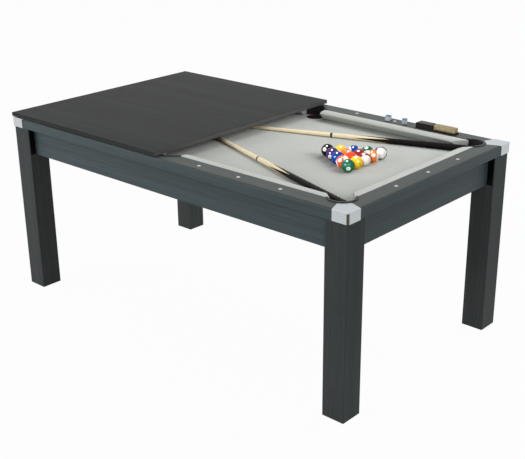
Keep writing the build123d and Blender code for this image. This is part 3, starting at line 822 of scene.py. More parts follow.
SIDE = (rgb(0.042, 0.060, 0.065), rgb(0.114, 0.154, 0.164))
# the rail tops' tones: the cabinet sides' laminate painted warmer and less blue, for warm light
# from above
RAIL_TOP_WARM_LIT = (rgb(0.046, 0.0555, 0.052), rgb(0.119, 0.1385, 0.130))
CAP_SEAM = (0.9168, 0.5168)
COMMON = (
    GrainFinish("side_along_x", *SIDE, Grain.ALONG_X),
    GrainFinish("side_along_y", *SIDE, Grain.ALONG_Y),
    GrainFinish("rail_along_x", *RAIL_TOP_WARM_LIT, Grain.ALONG_X, raw_from=CAP_SEAM, flank=SIDE),
    GrainFinish("rail_along_y", *RAIL_TOP_WARM_LIT, Grain.ALONG_Y, raw_from=CAP_SEAM, flank=SIDE),
    GrainFinish(
        "leg_post",
        rgb(0.041, 0.0475, 0.047),
        rgb(0.106, 0.1175, 0.1165),
        Grain.ALONG_Z,
        contrast=0.95,
        specular=0.07,
        # painted shade on the leg heads' inner faces above the aprons' lower edge
        cheek=(0.9165, 0.5165, 0.64),
    ),
    GrainFinish(
        "dining_board",
        rgb(0.0195, 0.0205, 0.0199),
        rgb(0.056, 0.0585, 0.0575),
        Grain.ALONG_X,
        contrast=1.6,
        specular=0.035,
        worn=rgb(0.13, 0.13, 0.132),
        wear=0.6,
        # the upright edges go towards this tone, slightly on every side and fully on faces that
        # look along +X
        band=rgb(0.17, 0.172, 0.17),
    ),
    GrainFinish(
        "planed_softwood",
        rgb(0.42, 0.28, 0.14),
        rgb(0.66, 0.48, 0.28),
        Grain.ALONG_Y,
        density=90.0,
        roughness=0.6,
        worn=rgb(0.7, 0.55, 0.36),
    ),
    GrainFinish(
        "brush_varnish",
        rgb(0.008, 0.007, 0.006),
        rgb(0.03, 0.024, 0.02),
        Grain.ALONG_X,
        density=300.0,
        roughness=0.32,
        worn=rgb(0.08, 0.06, 0.05),
    ),
    ClothFinish("bed_wool", rgb(0.42, 0.432, 0.40), rgb(0.56, 0.572, 0.535)),
    ClothFinish("cushion_wool", rgb(0.44, 0.452, 0.42), rgb(0.58, 0.592, 0.555)),
    SpeckleFinish(
        "raw_fibreboard",
        rgb(0.09, 0.055, 0.03),
        rgb(0.20, 0.13, 0.075),
        scale=600.0,
        roughness=0.8,
        bump=0.3,
    ),
    SpeckleFinish(
        "pocket_plastic",
        rgb(0.006, 0.006, 0.0065),
        rgb(0.013, 0.013, 0.014),
        scale=1400.0,
        roughness=0.38,
        specular=0.12,
    ),
    SpeckleFinish(
        "liner_plastic",
        rgb(0.030, 0.031, 0.030),
        rgb(0.056, 0.0575, 0.056),
        scale=1400.0,
        roughness=0.42,
        specular=0.16,
        # partly wear and partly painted highlight: the grey of the rubbed edges also stands for the
        # light on the liners' rounded lips
        wear=0.8,
        worn=rgb(0.24, 0.245, 0.24),
    ),
    SpeckleFinish(
        "foot_plastic", rgb(0.008, 0.008, 0.008), rgb(0.02, 0.02, 0.02), roughness=0.5
    ),
    SpeckleFinish(
        "black_felt",
        rgb(0.006, 0.006, 0.006),
        rgb(0.03, 0.03, 0.03),
        roughness=0.9,
        bump=0.8,
        sheen=0.4,
    ),
    SpeckleFinish(
        "sight_pearl",
        rgb(0.88, 0.89, 0.88),
        rgb(0.95, 0.95, 0.94),
        scale=260.0,
        roughness=0.2,
        bump=0.03,
    ),
    MetalFinish("cap_silver", rgb(0.54, 0.575, 0.59), rgb(0.66, 0.70, 0.715), metallic=0.75),
    MetalFinish("bolt_zinc", rgb(0.42, 0.42, 0.41), rgb(0.60, 0.59, 0.56), roughness=0.4),
    SpeckleFinish(
        "cue_ring",
        rgb(0.74, 0.72, 0.66),
        rgb(0.85, 0.84, 0.79),
        scale=300.0,
        roughness=0.2,
        bump=0.02,
    ),
    SpeckleFinish(
        "cue_collar", rgb(0.008, 0.007, 0.007), rgb(0.02, 0.018, 0.018), roughness=0.25, bump=0.02
    ),
    SpeckleFinish(
        "cue_tip_leather", rgb(0.05, 0.10, 0.16), rgb(0.14, 0.24, 0.33), scale=2500.0, roughness=0.9
    ),
    SpeckleFinish("brush_strip", rgb(0.05, 0.028, 0.012), rgb(0.12, 0.07, 0.035), roughness=0.6),
    SpeckleFinish(
        "number_ink", rgb(0.006, 0.006, 0.006), rgb(0.014, 0.014, 0.014), roughness=0.2, bump=0.02
    ),
)


class Finishes:
    """Every material of the table, built once."""

    def __init__(self) -> None:
        """Builds the shared effects and the common finishes."""
        self.effects = Effects()
        self.common = {finish.name: self.special(finish) for finish in COMMON}

    def __getitem__(self, name: str) -> Material:
        """Gives a common finish by its name."""
        return self.common[name]

    def special(self, finish: Finish) -> Material:
        """Builds a finish with the shared effects."""
        return finish.build(self.effects)


def dress(node: Piece, *materials: Material) -> None:
    """Gives an object its materials.

    Args:
        node: a CAD node or a new piece.
        materials: one for each of its slots.
    """
    if node.data.materials:
        node.data.materials.clear()
    for material in materials:
        node.data.materials.append(material)
        LOG.info("%s wears %s", node.name, material.name)


def piece_from(name: str, mesh: Mesh, soften: float = 35.0) -> Piece:
    """Puts a mesh into the scene with smooth faces and sharp creases.

    Args:
        name: the piece's name.
        mesh: its mesh.
        soften: the angle in degrees above which an edge stays sharp.

    Returns:
        The new object.
    """
    mesh.name = name
    mesh.polygons.foreach_set("use_smooth", [True] * len(mesh.polygons))
    mesh.set_sharp_from_angle(angle=math.radians(soften))
    piece = bpy.data.objects.new(name, mesh)
    bpy.context.scene.collection.objects.link(piece)
    return piece


def settle(piece: Piece, body: str, slot: str, *nodes: str) -> None:
    """Makes a piece ride on a body, and hides the nodes that it stands for.

    Args:
        piece: the piece.
        body: the CAD body that it moves with.
        slot: the record's material slot; not used.
        nodes: the CAD nodes that it replaces.
    """
    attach(piece, body)
    if nodes:
        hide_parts(*nodes)
    LOG.info("%s rides on %s", piece.name, body)


def skin(made: bmesh.types.BMesh, loops: Iterable[Iterable[Vector]], ends: Ends) -> None:
    """Skins a row of loops, each with the same number of points or with one point as a tip.

    Args:
        made: the mesh to add to.
        loops: the loops in order.
        ends: how the row ends.
    """
    rings = [[made.verts.new(point) for point in loop] for loop in loops]
    pairs = list(zip(rings, rings[1:]))
    if ends is Ends.JOINED:
        pairs.append((rings[-1], rings[0]))
    for first, second in pairs:
        count = max(len(first), len(second))
        for index in range(count):
            after = (index + 1) % count
            corners = [first[index % len(first)], first[after % len(first)]]
            corners += [second[after % len(second)], second[index % len(second)]]
            made.faces.new(list(dict.fromkeys(corners)))
    if ends is Ends.CAPPED:
        made.faces.new(list(reversed(rings[0])))
        made.faces.new(rings[-1])


def to_mesh(made: bmesh.types.BMesh) -> Mesh:
    """Ends the edits and gives a plain mesh.

    Args:
        made: the mesh being edited.

    Returns:
        The finished mesh.
    """
    mesh = bpy.data.meshes.new("piece")
    made.to_mesh(mesh)
    made.free()
    return mesh


def closed(made: bmesh.types.BMesh) -> Mesh:
    """Turns a closed mesh's faces outwards and gives it as a plain mesh."""
    bmesh.ops.recalc_face_normals(made, faces=made.faces)
    return to_mesh(made)


def from_curve(curve: bpy.types.Curve) -> bmesh.types.BMesh:
    """Turns a curve or a text into a mesh with no doubled points, and removes it.

    Args:
        curve: the curve's data.

    Returns:
        The new mesh, still open to edits.
    """
    holder = bpy.data.objects.new("outline", curve)
    bpy.context.scene.collection.objects.link(holder)
    shape = holder.evaluated_get(bpy.context.evaluated_depsgraph_get())
    mesh = bpy.data.meshes.new_from_object(shape)
    bpy.data.objects.remove(holder)
    bpy.data.curves.remove(curve)
    made = bmesh.new()
    made.from_mesh(mesh)
    bpy.data.meshes.remove(mesh)
    bmesh.ops.remove_doubles(made, verts=made.verts, dist=JOIN_DISTANCE)
    return made


def slab(outlines: Iterable[Sequence[Point]], low: float, high: float, edge: float) -> Mesh:
    """Fills closed outlines, holes included, into a flat slab with softened edges.

    Args:
        outlines: closed outlines in plan; one inside another is a hole.
        low: the slab's underside.
        high: its top.
        edge: how far its edges are rounded.

    Returns:
        The slab's mesh.
    """
    curve = bpy.data.curves.new("outline", "CURVE")
    curve.dimensions = "2D"
    curve.fill_mode = "BOTH"
    curve.extrude = (high - low) / 2 - edge
    curve.bevel_depth = edge
    curve.bevel_resolution = 1
    curve.offset = -edge
    for outline in outlines:
        spline = curve.splines.new("POLY")
        spline.points.add(len(outline) - 1)
        for point, (across, along) in zip(spline.points, outline):
            point.co = (across, along, 0.0, 1.0)
        spline.use_cyclic_u = True
    mesh = closed(from_curve(curve))
    mesh.transform(Matrix.Translation((0.0, 0.0, (low + high) / 2)))
    return mesh


def rectangle(centre: Point, length: float, width: float) -> list[Point]:
    """Gives the corners of a rectangle, its length along X and its width along Y."""
    signs = ((-1, -1), (1, -1), (1, 1), (-1, 1))
    return [(centre[0] + x * length / 2, centre[1] + y * width / 2) for x, y in signs]


def circle(radius: float, count: int, start: float = 0.0) -> list[Point]:
    """Gives evenly spaced points round a circle about the origin, from a first turn."""
    turns = [start + 2 * math.pi * index / count for index in range(count)]
    return [(radius * math.cos(turn), radius * math.sin(turn)) for turn in turns]


@dataclass
class SubAssembly:
    """A part of the table that is built or dressed together."""

    finishes: Finishes


@dataclass
class CadAssembly(SubAssembly):
    """A sub-assembly with CAD nodes that keep their shapes."""

    nodes: dict[str, Piece]

    def dress_all(self, finish: str, *names: str) -> None:
        """Gives some nodes the same common finish."""
        for name in names:
            dress(self.nodes[name], self.finishes[finish])


@dataclass
class Cabinet(CadAssembly):
    """Legs, cabinet sides, bed board, beams, feet and bolts: CAD shapes with their finishes."""

    def build(self) -> None:
        """Gives each node of the cabinet its material."""
        for corner in CORNERS:
            self.dress_all("leg_post", f"leg_{corner}")
            self.dress_all("foot_plastic", f"leveller_{corner}")
        self.dress_all("side_along_x", "apron_back", "apron_front")
        self.dress_all("side_along_y", "apron_right", "apron_left")
        bed = ("bed_board", "bed_corner_blocks", "bed_middle_blocks")
        self.dress_all("raw_fibreboard", *bed)
        self.dress_all("planed_softwood", "cross_beams")
        self.dress_all("bolt_zinc", "leg_bolts", "rail_bolts")


@dataclass
class RailFrame(CadAssembly):
    """Rails, caps, pocket liners, cups and sights: CAD shapes with their finishes."""

    def build(self) -> None:
        """Gives each node of the rail frame its material."""
        self.dress_all("rail_along_x", "rail_back", "rail_front")
        self.dress_all("rail_along_y", "rail_right", "rail_left")
        self.dress_all("liner_plastic", "corner_liners", "middle_liners")
        self.dress_all("pocket_plastic", "corner_cups", "middle_cups")
        self.dress_all("cap_silver", "corner_caps")
        self.dress_all("sight_pearl", "rail_sights")


@dataclass
class BedCloth(SubAssembly):
    """The cloth stretched over the bed, cut out at the six pockets."""

    length: float = 1.7504
    width: float = 0.9504
    top: float = 0.759
    thickness: float = 0.0014
    edge: float = 0.0005
    corner: Point = (0.815, 0.415)
    corner_hole: float = 0.0452
    middle: Point = (0.0, 0.441)
    middle_hole: float = 0.0392
    hole_points: int = 72

    def build(self) -> Piece:
        """Builds the sheet and lays it on the bed.

        Returns:
            The cloth.
        """
        far, wide = self.corner
        holes = [(x * far, y * wide, self.corner_hole) for x in (-1, 1) for y in (-1, 1)]
        holes += [(self.middle[0], y * self.middle[1], self.middle_hole) for y in (-1, 1)]
        outlines = [rectangle((0.0, 0.0), self.length, self.width)]
        for across, along, radius in holes:
            ring = circle(radius, self.hole_points)
            outlines.append([(across + x, along + y) for x, y in ring])
        mesh = slab(outlines, self.top - self.thickness, self.top, self.edge)
        cloth = piece_from("stretched_cloth", mesh)
        dress(cloth, self.finishes["bed_wool"])
        settle(cloth, TABLE, "cloth", "bed_cloth")
        return cloth


@dataclass
class Cushions(SubAssembly):
    """Six rubber cushions wrapped in cloth, with their rounded ends at the pockets."""

    nose: Point = (0.8, 0.4)
    depth: float = 0.0472
    floor: float = 0.759
    foot: float = 0.0022
    face_foot: Point = (0.0262, 0.0028)
    face_run: Point = (0.0245, 0.0258)
    nose_height: float = 0.032
    nose_round: Point = (0.003, 0.0033)
    slope_foot: Point = (0.0035, 0.0353)
    slope_run: Point = (0.018, 0.0047)
    slope_crown: float = 0.0013
    top: Point = (0.0215, 0.040)
    top_run: float = 0.0228
    top_crown: float = 0.0004
    mouth: float = 0.09
    corner_angle: float = math.radians(45.0)
    middle_mouth: float = 0.116
    middle_angle: float = math.radians(5.0)
    pitch: float = 0.03
    uneven: float = 0.00025
    crease: float = 50.0
    ends: tuple[Point, ...] = (
        (0.0, 0.885),
        (0.0005, 0.93),
        (0.0014, 0.962),
        (0.0028, 0.982),
        (0.005, 0.994),
        (0.009, 1.0),
    )

    def section(self) -> list[Point]:
        """Gives the section: distance back from the nose, and height over the cloth.

        Returns:
            A closed outline that starts low at the back: foot, face, nose, slope, top and back.
        """
        points = [(back, self.foot) for back in (self.depth, 0.0372, 0.0272)]
        back, up = self.face_foot
        for step in range(5):
            points.append((back - self.face_run[0] * step / 5, up + self.face_run[1] * step / 5))
        deep, tall = self.nose_round
        for step in range(9):
            turn = math.radians(-70.0 + 150.0 * step / 8)
            high = self.nose_height + tall * math.sin(turn)
            points.append((deep - deep * math.cos(turn), high))
        back, up = self.slope_foot
        for step in range(1, 8):
            share = step / 8
            crown = self.slope_crown * math.sin(math.pi * share)
            high = up + self.slope_run[1] * share + crown
            points.append((back + self.slope_run[0] * share, high))
        back, up = self.top
        for step in range(7):
            share = step / 6
            crown = self.top_crown * math.sin(math.pi * share)
            points.append((back + self.top_run * share, up + crown))
        points += [(0.0455, 0.0397), (0.0466, 0.0389), (self.depth, 0.0372)]
        return points

    def bar(self, name: str, low: Point, high: Point) -> Mesh:
        """Sweeps the section along X, with rounded ends.

        Args:
            name: the cushion's name, which seeds its small unevenness.
            low: where the low end's nose lies, and how far the end leans per unit of depth.
            high: the same for the high end.

        Returns:
            The cushion's mesh, its nose on Y = 0 and facing -Y.
        """
        draw = random.Random(name)
        outline = self.section()
        middle_y = sum(point[0] for point in outline) / len(outline)
        middle_z = sum(point[1] for point in outline) / len(outline)
        length = high[0] - low[0]
        count = max(8, int(length / self.pitch))
        stations = list(self.ends)
        stations += [(length * step / count, 1.0) for step in range(1, count)]
        stations += [(length - gap, size) for gap, size in reversed(self.ends)]
        loops = []
        for gap, size in stations:
            share = gap / length
            sway = self.uneven * draw.uniform(-1.0, 1.0) if size == 1.0 else 0.0
            loop = []
            for back, up in outline:
                start = low[0] + low[1] * back
                finish = high[0] + high[1] * back
                near = middle_y + (back - middle_y) * size
                tall = middle_z + (up - middle_z) * size
                soft = sway if up > 0.03 and back < 0.03 else 0.0
                across = start + (finish - start) * share
                loop.append(Vector((across, near + soft, self.floor + tall)))
            loops.append(loop)
        made = bmesh.new()
        skin(made, loops, Ends.CAPPED)
        return closed(made)

    def build(self) -> list[Piece]:
        """Builds all six cushions in their places.

        Returns:
            The cushions.
        """
        run = self.mouth / math.sqrt(2.0)
        lean = 1.0 / math.tan(self.corner_angle)
        middle = (self.middle_mouth / 2, -math.tan(self.middle_angle))
        made = []
        for corner in CORNERS:
            name = f"cushion_{corner}"
            mesh = self.bar(name, middle, (self.nose[0] - run, lean))
            mesh.transform(Matrix.Translation((0.0, self.nose[1], 0.0)))
            flip_x = -1.0 if "left" in corner else 1.0
            flip_y = -1.0 if "front" in corner else 1.0
            mesh.transform(Matrix.Diagonal((flip_x, flip_y, 1.0, 1.0)))
            if flip_x * flip_y < 0.0:
                mesh.flip_normals()
            made.append(self._place(name, mesh))
        half = self.nose[1] - run
        for side, turn in (("right", -90.0), ("left", 90.0)):
            name = f"cushion_{side}"
            mesh = self.bar(name, (-half, -lean), (half, lean))
            mesh.transform(Matrix.Translation((0.0, self.nose[0], 0.0)))
            mesh.transform(Matrix.Rotation(math.radians(turn), 4, "Z"))
            made.append(self._place(name, mesh))
        return made

    def _place(self, node: str, mesh: Mesh) -> Piece:
        """Puts one cushion in its place.

        Args:
            node: the CAD node that it stands for.
            mesh: its mesh.

        Returns:
            The cushion.
        """
        piece = piece_from(f"wrapped_{node}", mesh, self.crease)
        dress(piece, self.finishes["cushion_wool"])
        settle(piece, TABLE, "cushion", node)
        return piece


@dataclass
class DiningTop(CadAssembly):
    """The half of the dining top and the felt pads under it."""

    rail_middle: Point = (0.885, 0.485)
    long_places: Triple = (0.12, 0.48, 0.78)
    end_place: float = 0.3
    length: float = 0.09
    width: float = 0.022
    low: float = 0.8
    thickness: float = 0.004
    edge: float = 0.0006

    def build(self) -> None:
        """Dresses the board and lays the pads."""
        self.dress_all("dining_board", "dining_top")
        far, wide = self.rail_middle
        outlines = []
        for side in (-1.0, 1.0):
            for place in self.long_places:
                outlines.append(rectangle((-place, side * wide), self.length, self.width))
            outlines.append(rectangle((-far, side * self.end_place), self.width, self.length))
        mesh = slab(outlines, self.low, self.low + self.thickness, self.edge)
        pads = piece_from("felt_pads", mesh)
        dress(pads, self.finishes["black_felt"])
        settle(pads, "dining_top", "felt", "top_pads")


@dataclass(frozen=True)
class BallLook:
    """One ball's number, colour and how it lies."""

    number: int
    colour: BallColour
    face: Triple
    pole: Triple

    @property
    def striped(self) -> bool:
        """Tells whether the ball has white ends."""
        return self.number > 8

    def turn(self) -> Matrix:
        """Gives the ball's turn.

        Returns:
            A turn with X through the number and Z through the poles.
        """
        face = Vector(self.face).normalized()
        pole = Vector(self.pole)
        if self.striped:
            pole.normalize()
            face = (face - pole * face.dot(pole)).normalized()
        else:
            pole = (pole - face * pole.dot(face)).normalized()
        return Matrix((face, pole.cross(face), pole)).transposed().to_4x4()


BALL_LOOKS = (
    BallLook(1, BallColour.YELLOW, (0.02, -0.05, 1.0), (0.0, 1.0, 0.2)),
    BallLook(2, BallColour.BLUE, (0.55, -0.70, -0.30), (0.6, 0.5, 0.4)),
    BallLook(3, BallColour.RED, (-0.2, 0.5, 0.85), (1.0, 0.2, 0.3)),
    BallLook(4, BallColour.PURPLE, (0.23, -0.955, -0.19), (0.8, 0.1, -0.3)),
    BallLook(5, BallColour.ORANGE, (-0.7, 0.2, -0.6), (0.2, 1.0, 0.1)),
    BallLook(6, BallColour.GREEN, (0.64, -0.72, -0.18), (0.2, 0.3, 1.0)),
    BallLook(7, BallColour.MAROON, (-0.3, 0.8, 0.4), (0.9, 0.3, 0.1)),
    BallLook(8, BallColour.BLACK, (0.07, -0.92, 0.39), (0.8, 0.5, 0.0)),
    BallLook(9, BallColour.YELLOW, (-0.6, -0.3, 0.7), (0.1, 0.9, 0.45)),
    BallLook(10, BallColour.BLUE, (-0.5, 0.4, 0.7), (0.7, 0.75, 0.0)),
    BallLook(11, BallColour.RED, (0.10, -0.85, 0.5), (0.9, 0.3, 0.35)),
    BallLook(12, BallColour.PURPLE, (-0.4, 0.2, 0.9), (0.66, -0.70, 0.22)),
    BallLook(13, BallColour.ORANGE, (0.58, -0.66, 0.42), (0.75, 0.66, 0.0)),
    BallLook(14, BallColour.GREEN, (-0.3, 0.1, 0.95), (0.61, -0.68, -0.39)),
    BallLook(15, BallColour.MAROON, (-0.5, 0.3, 0.8), (0.68, -0.62, -0.05)),
)


@dataclass
class BallSet(SubAssembly):
    """Fifteen balls in their triangle, with numbers inlaid on both sides."""

    radius: float = 0.0254
    segments: int = 64
    rings: int = 40
    numeral: float = 0.0085
    raised: float = 0.02
    proud: float = 0.00006

    def build(self) -> list[Piece]:
        """Builds every ball and gives them in order."""
        return [self._ball(look) for look in BALL_LOOKS]

    def _ball(self, look: BallLook) -> Piece:
        """Builds one ball with its two numbers.

        Args:
            look: the ball's number, colour and lie.

        Returns:
            The ball.
        """
        body = f"ball_{look.number}"
        low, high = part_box(body)
        made = bmesh.new()
        sizes = {"u_segments": self.segments, "v_segments": self.rings, "radius": self.radius}
        bmesh.ops.create_uvsphere(made, **sizes)
        ball = piece_from(f"polished_{body}", to_mesh(made))
        ball.matrix_world = Matrix.Translation((low + high) / 2) @ look.turn()
        finish = BallFinish(f"resin_{look.number}", look.colour, look.striped, self.radius)
        dress(ball, self.finishes.special(finish))
        settle(ball, body, body, body)
        digits = piece_from(f"numbers_{look.number}", self._digits(look.number))
        digits.matrix_world = ball.matrix_world
        dress(digits, self.finishes["number_ink"])
        settle(digits, body, body)
        return ball

    def _digits(self, number: int) -> Mesh:
        """Wraps a number's shape onto both sides of a ball.

        Args:
            number: the number to write.

        Returns:
            The numbers' mesh, in the ball's own frame.
        """
        text = bpy.data.curves.new("digits", "FONT")
        text.body = str(number)
        text.align_x = "CENTER"
        text.align_y = "CENTER"
        text.extrude = self.raised
        made = from_curve(text)
        bmesh.ops.triangulate(made, faces=made.faces)
        bmesh.ops.subdivide_edges(made, edges=made.edges, cuts=2, use_grid_fill=True)
        xs = [vert.co.x for vert in made.verts]
        ys = [vert.co.y for vert in made.verts]
        scale = self.numeral / (max(ys) - min(ys))
        centre = Vector(((max(xs) + min(xs)) / 2, (max(ys) + min(ys)) / 2, 0.0))
        near = made.verts[:] + made.edges[:] + made.faces[:]
        far = bmesh.ops.duplicate(made, geom=near)["geom"]
        other = {item for item in far if isinstance(item, bmesh.types.BMVert)}
        for vert in made.verts:
            side = -1.0 if vert in other else 1.0
            flat = (vert.co - centre) * scale
            point = Vector((side * self.radius, side * flat.x, flat.y))
            height = self.radius + self.proud * math.copysign(1.0, flat.z)
            vert.co = point.normalized() * height
        return closed(made)


@dataclass
class CueSet(CadAssembly):
    """Two cues: turned CAD wood with inlaid points, and fitted rings, ferrules and tips."""

    cues: tuple[CueShape, ...] = (
        CueShape("cue_1", (0.254, 0.232), math.radians(18.5)),
        CueShape("cue_2", (0.241, -0.206), math.radians(-19.0)),
    )
    proud: float = 0.00014
    sunk: float = 0.0006
    edge: float = 0.00012
    collar: float = 0.0085
    ring: float = 0.0026
    ferrule: float = 0.02
    tip: float = 0.006
    dome: float = 0.0031
    narrowing: float = 0.62
    crown: Point = (0.0002, 0.0003)
    facets: int = 40

    def build(self) -> None:
        """Dresses both cues and adds their fittings."""
        for shape in self.cues:
            for part in CuePart:
                name = f"{shape.name}_{part.value}"
                finish = CueFinish(f"{name}_wood", part, shape)
                dress(self.nodes[name], self.finishes.special(finish))
            self._sleeve(shape, "collar", 0.0, self.collar, "cue_collar")
            self._sleeve(shape, "ring", self.collar, self.collar + self.ring, "cue_ring")
            start = -shape.shaft + self.tip
            self._sleeve(shape, "ferrule", start, start + self.ferrule, "cue_ring")
            self._leather(shape)

    def _sleeve(self, shape: CueShape, label: str, start: float, end: float, finish: str) -> None:
        """Turns a thin sleeve round a cue.

        Args:
            shape: the cue.
            label: the sleeve's name.
            start: where it starts along the cue.
            end: where it ends.
            finish: its common finish.
        """
        profile = [
            (start, -self.sunk),
            (start, self.proud - self.edge),
            (start + self.edge, self.proud),
            (end - self.edge, self.proud),
            (end, self.proud - self.edge),
            (end, -self.sunk),
        ]
        turned = [(along, shape.radius(along) + out) for along, out in profile]
        self._turned(shape, label, turned, finish, Ends.JOINED)

    def _leather(self, shape: CueShape) -> None:
        """Turns the domed leather tip of a cue, over the end of its shaft.

        Args:
            shape: the cue.
        """
        end = -shape.shaft
        radius = shape.radius(end) + self.proud
        shoulder = end + self.dome
        profile = [(end + self.tip, 0.0), (end + self.tip, radius), (shoulder, radius)]
        for step in range(1, 8):
            turn = math.pi / 2 * step / 8
            narrowed = radius * (1 - self.narrowing * (1 - math.cos(turn)))
            profile.append((shoulder - self.dome * math.sin(turn) - self.crown[0], narrowed))
        profile.append((end - self.crown[1], 0.0))
        self._turned(shape, "tip", profile, "cue_tip_leather", Ends.TIPPED)

    def _turned(
        self, shape: CueShape, label: str, profile: Sequence[Point], finish: str, ends: Ends
    ) -> None:
        """Turns a profile round a cue's axis.

        Args:
            shape: the cue.
            label: the piece's name.
            profile: distances along the cue and radii.
            finish: the piece's common finish.
            ends: how the profile ends.
        """
        loops = []
        for along, radius in profile:
            ring = circle(radius, self.facets if radius else 1)
            loops.append([Vector((along, *point)) for point in ring])
        made = bmesh.new()
        skin(made, loops, ends)
        mesh = closed(made)
        mesh.transform(shape.frame())
        piece = piece_from(f"{shape.name}_{label}", mesh)
        dress(piece, self.finishes[finish])
        settle(piece, shape.name, "cue_shaft")


@dataclass
class RailKit(CadAssembly):
    """Two chalk cubes and the table brush on the back rail."""

    columns: int = 66
    rows: int = 21
    strand: float = 0.00085
    taper: tuple[Point, ...] = ((0.0, 1.0), (0.55, 0.9), (1.0, 0.55))
    strip: float = 0.002
    strip_edge: float = 0.0005
    rooted: float = 0.0003
    shortest: float = 0.93
    margin: float = 0.0016
    jitter: float = 0.38
    stray: float = 0.0006
    fan: float = 0.002

    def build(self) -> None:
        """Dresses the chalk and the brush's back, and builds its bristles."""
        for name in ("chalk_1", "chalk_2"):
            finish = ChalkFinish(f"{name}_blue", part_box(name)[1].z)
            dress(self.nodes[name], self.finishes.special(finish))
        self.dress_all("brush_varnish", "brush_back")
        self._bristles()

    def _bristles(self) -> None:
        """Builds the strip and its strands, each with its own lean and length."""
        low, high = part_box("brush_bristles")
        draw = random.Random(7)
        made = bmesh.new()
        strip = bmesh.ops.create_cube(made, size=1.0)["verts"]
        size = Vector((high.x - low.x, high.y - low.y, self.strip))
        middle = Vector(((low.x + high.x) / 2, (low.y + high.y) / 2, low.z + self.strip / 2))
        for vert in strip:
            vert.co = Vector(a * b for a, b in zip(vert.co, size)) + middle
        edges = list({edge for vert in strip for edge in vert.link_edges})
        bmesh.ops.bevel(made, geom=edges, offset=self.strip_edge, segments=2, affect="EDGES")
        strip_faces = len(made.faces)
        root = low.z + self.strip - self.rooted
        length = high.z - root
        inset = 2 * self.margin
        for column in range(self.columns):
            for row in range(self.rows):
                across = (column + 0.5 + draw.uniform(-self.jitter, self.jitter)) / self.columns
                along = (row + 0.5 + draw.uniform(-self.jitter, self.jitter)) / self.rows
                foot_x = low.x + self.margin + across * (size.x - inset)
                foot_y = low.y + self.margin + along * (size.y - inset)
                lean_x = draw.gauss(0.0, self.stray)
                lean_y = draw.gauss(0.0, self.stray) + self.fan * (along - 0.5)
                tall = length * draw.uniform(self.shortest, 1.0)
                foot = Vector((foot_x, foot_y, root))
                lean = Vector((lean_x, lean_y, 0.0))
                self._strand(made, foot, lean, tall, draw.uniform(0.0, 2.0))
        for face in list(made.faces)[strip_faces:]:
            face.material_index = 1
        piece = piece_from("brush_tuft", closed(made))
        hair = self.finishes.special(BristleFinish("cream_bristle", root, length))
        dress(piece, self.finishes["brush_strip"], hair)
        settle(piece, "brush", "bristle", "brush_bristles")

    def _strand(
        self, made: bmesh.types.BMesh, foot: Vector, lean: Vector, tall: float, turn: float
    ) -> None:
        """Adds one tapered three-sided strand.

        Args:
            made: the mesh to add to.
            foot: where the strand stands.
            lean: how far its tip leans.
            tall: its height.
            turn: its turn about its own axis.
        """
        loops = []
        for share, thick in self.taper:
            centre = foot + lean * share * share + Vector((0.0, 0.0, tall * share))
            ring = circle(self.strand * thick, 3, turn)
            loops.append([centre + Vector((*point, 0.0)) for point in ring])
        skin(made, loops, Ends.CAPPED)


@dataclass(frozen=True)
class Lamp:
    """One soft square lamp: where it hangs, its width, its power and what it shows in."""

    name: str
    place: Triple
    size: float
    power: float
    mirrored: bool = False
    diffuse: bool = True
    aim: Triple = (0.0, 0.0, 0.6)

    def hang(self, reached: bpy.types.Collection | None = None) -> None:
        """Hangs the lamp so that it looks at the table.

        Args:
            reached: the only pieces that it reaches, if not all.
        """
        data = bpy.data.lights.new(self.name, "AREA")
        data.size = self.size
        data.energy = self.power
        lamp = bpy.data.objects.new(self.name, data)
        lamp.location = self.place
        lamp.visible_glossy = self.mirrored
        lamp.visible_diffuse = self.diffuse
        view = Vector(self.aim) - Vector(self.place)
        lamp.rotation_euler = view.to_track_quat("-Z", "Y").to_euler()
        bpy.context.scene.collection.objects.link(lamp)
        if reached is not None:
            lamp.light_linking.receiver_collection = reached


KEY = Lamp("key_light", (0.9, 3.0, 4.5), 3.0, 95.0)
FRONT = Lamp("front_light", (-3.6, -5.0, 3.2), 2.5, 118.0, mirrored=True)
FIELD = Lamp("field_light", (7.5, 2.2, 4.9), 4.2, 500.0)
CUE_FILL = Lamp("cue_fill", (1.4, -3.6, 3.2), 2.0, 60.0)
BALL_FILL = Lamp("ball_fill", (1.4, -3.6, 3.2), 2.0, 170.0)
SPARKLES = tuple(
    Lamp(f"sparkle_{index}", place, 1.25, 1700.0, mirrored=True, diffuse=False)
    for index, place in enumerate(((-0.9, -4.2, 3.0), (3.6, -1.2, 3.0), (-0.6, 0.2, 4.4)))
)


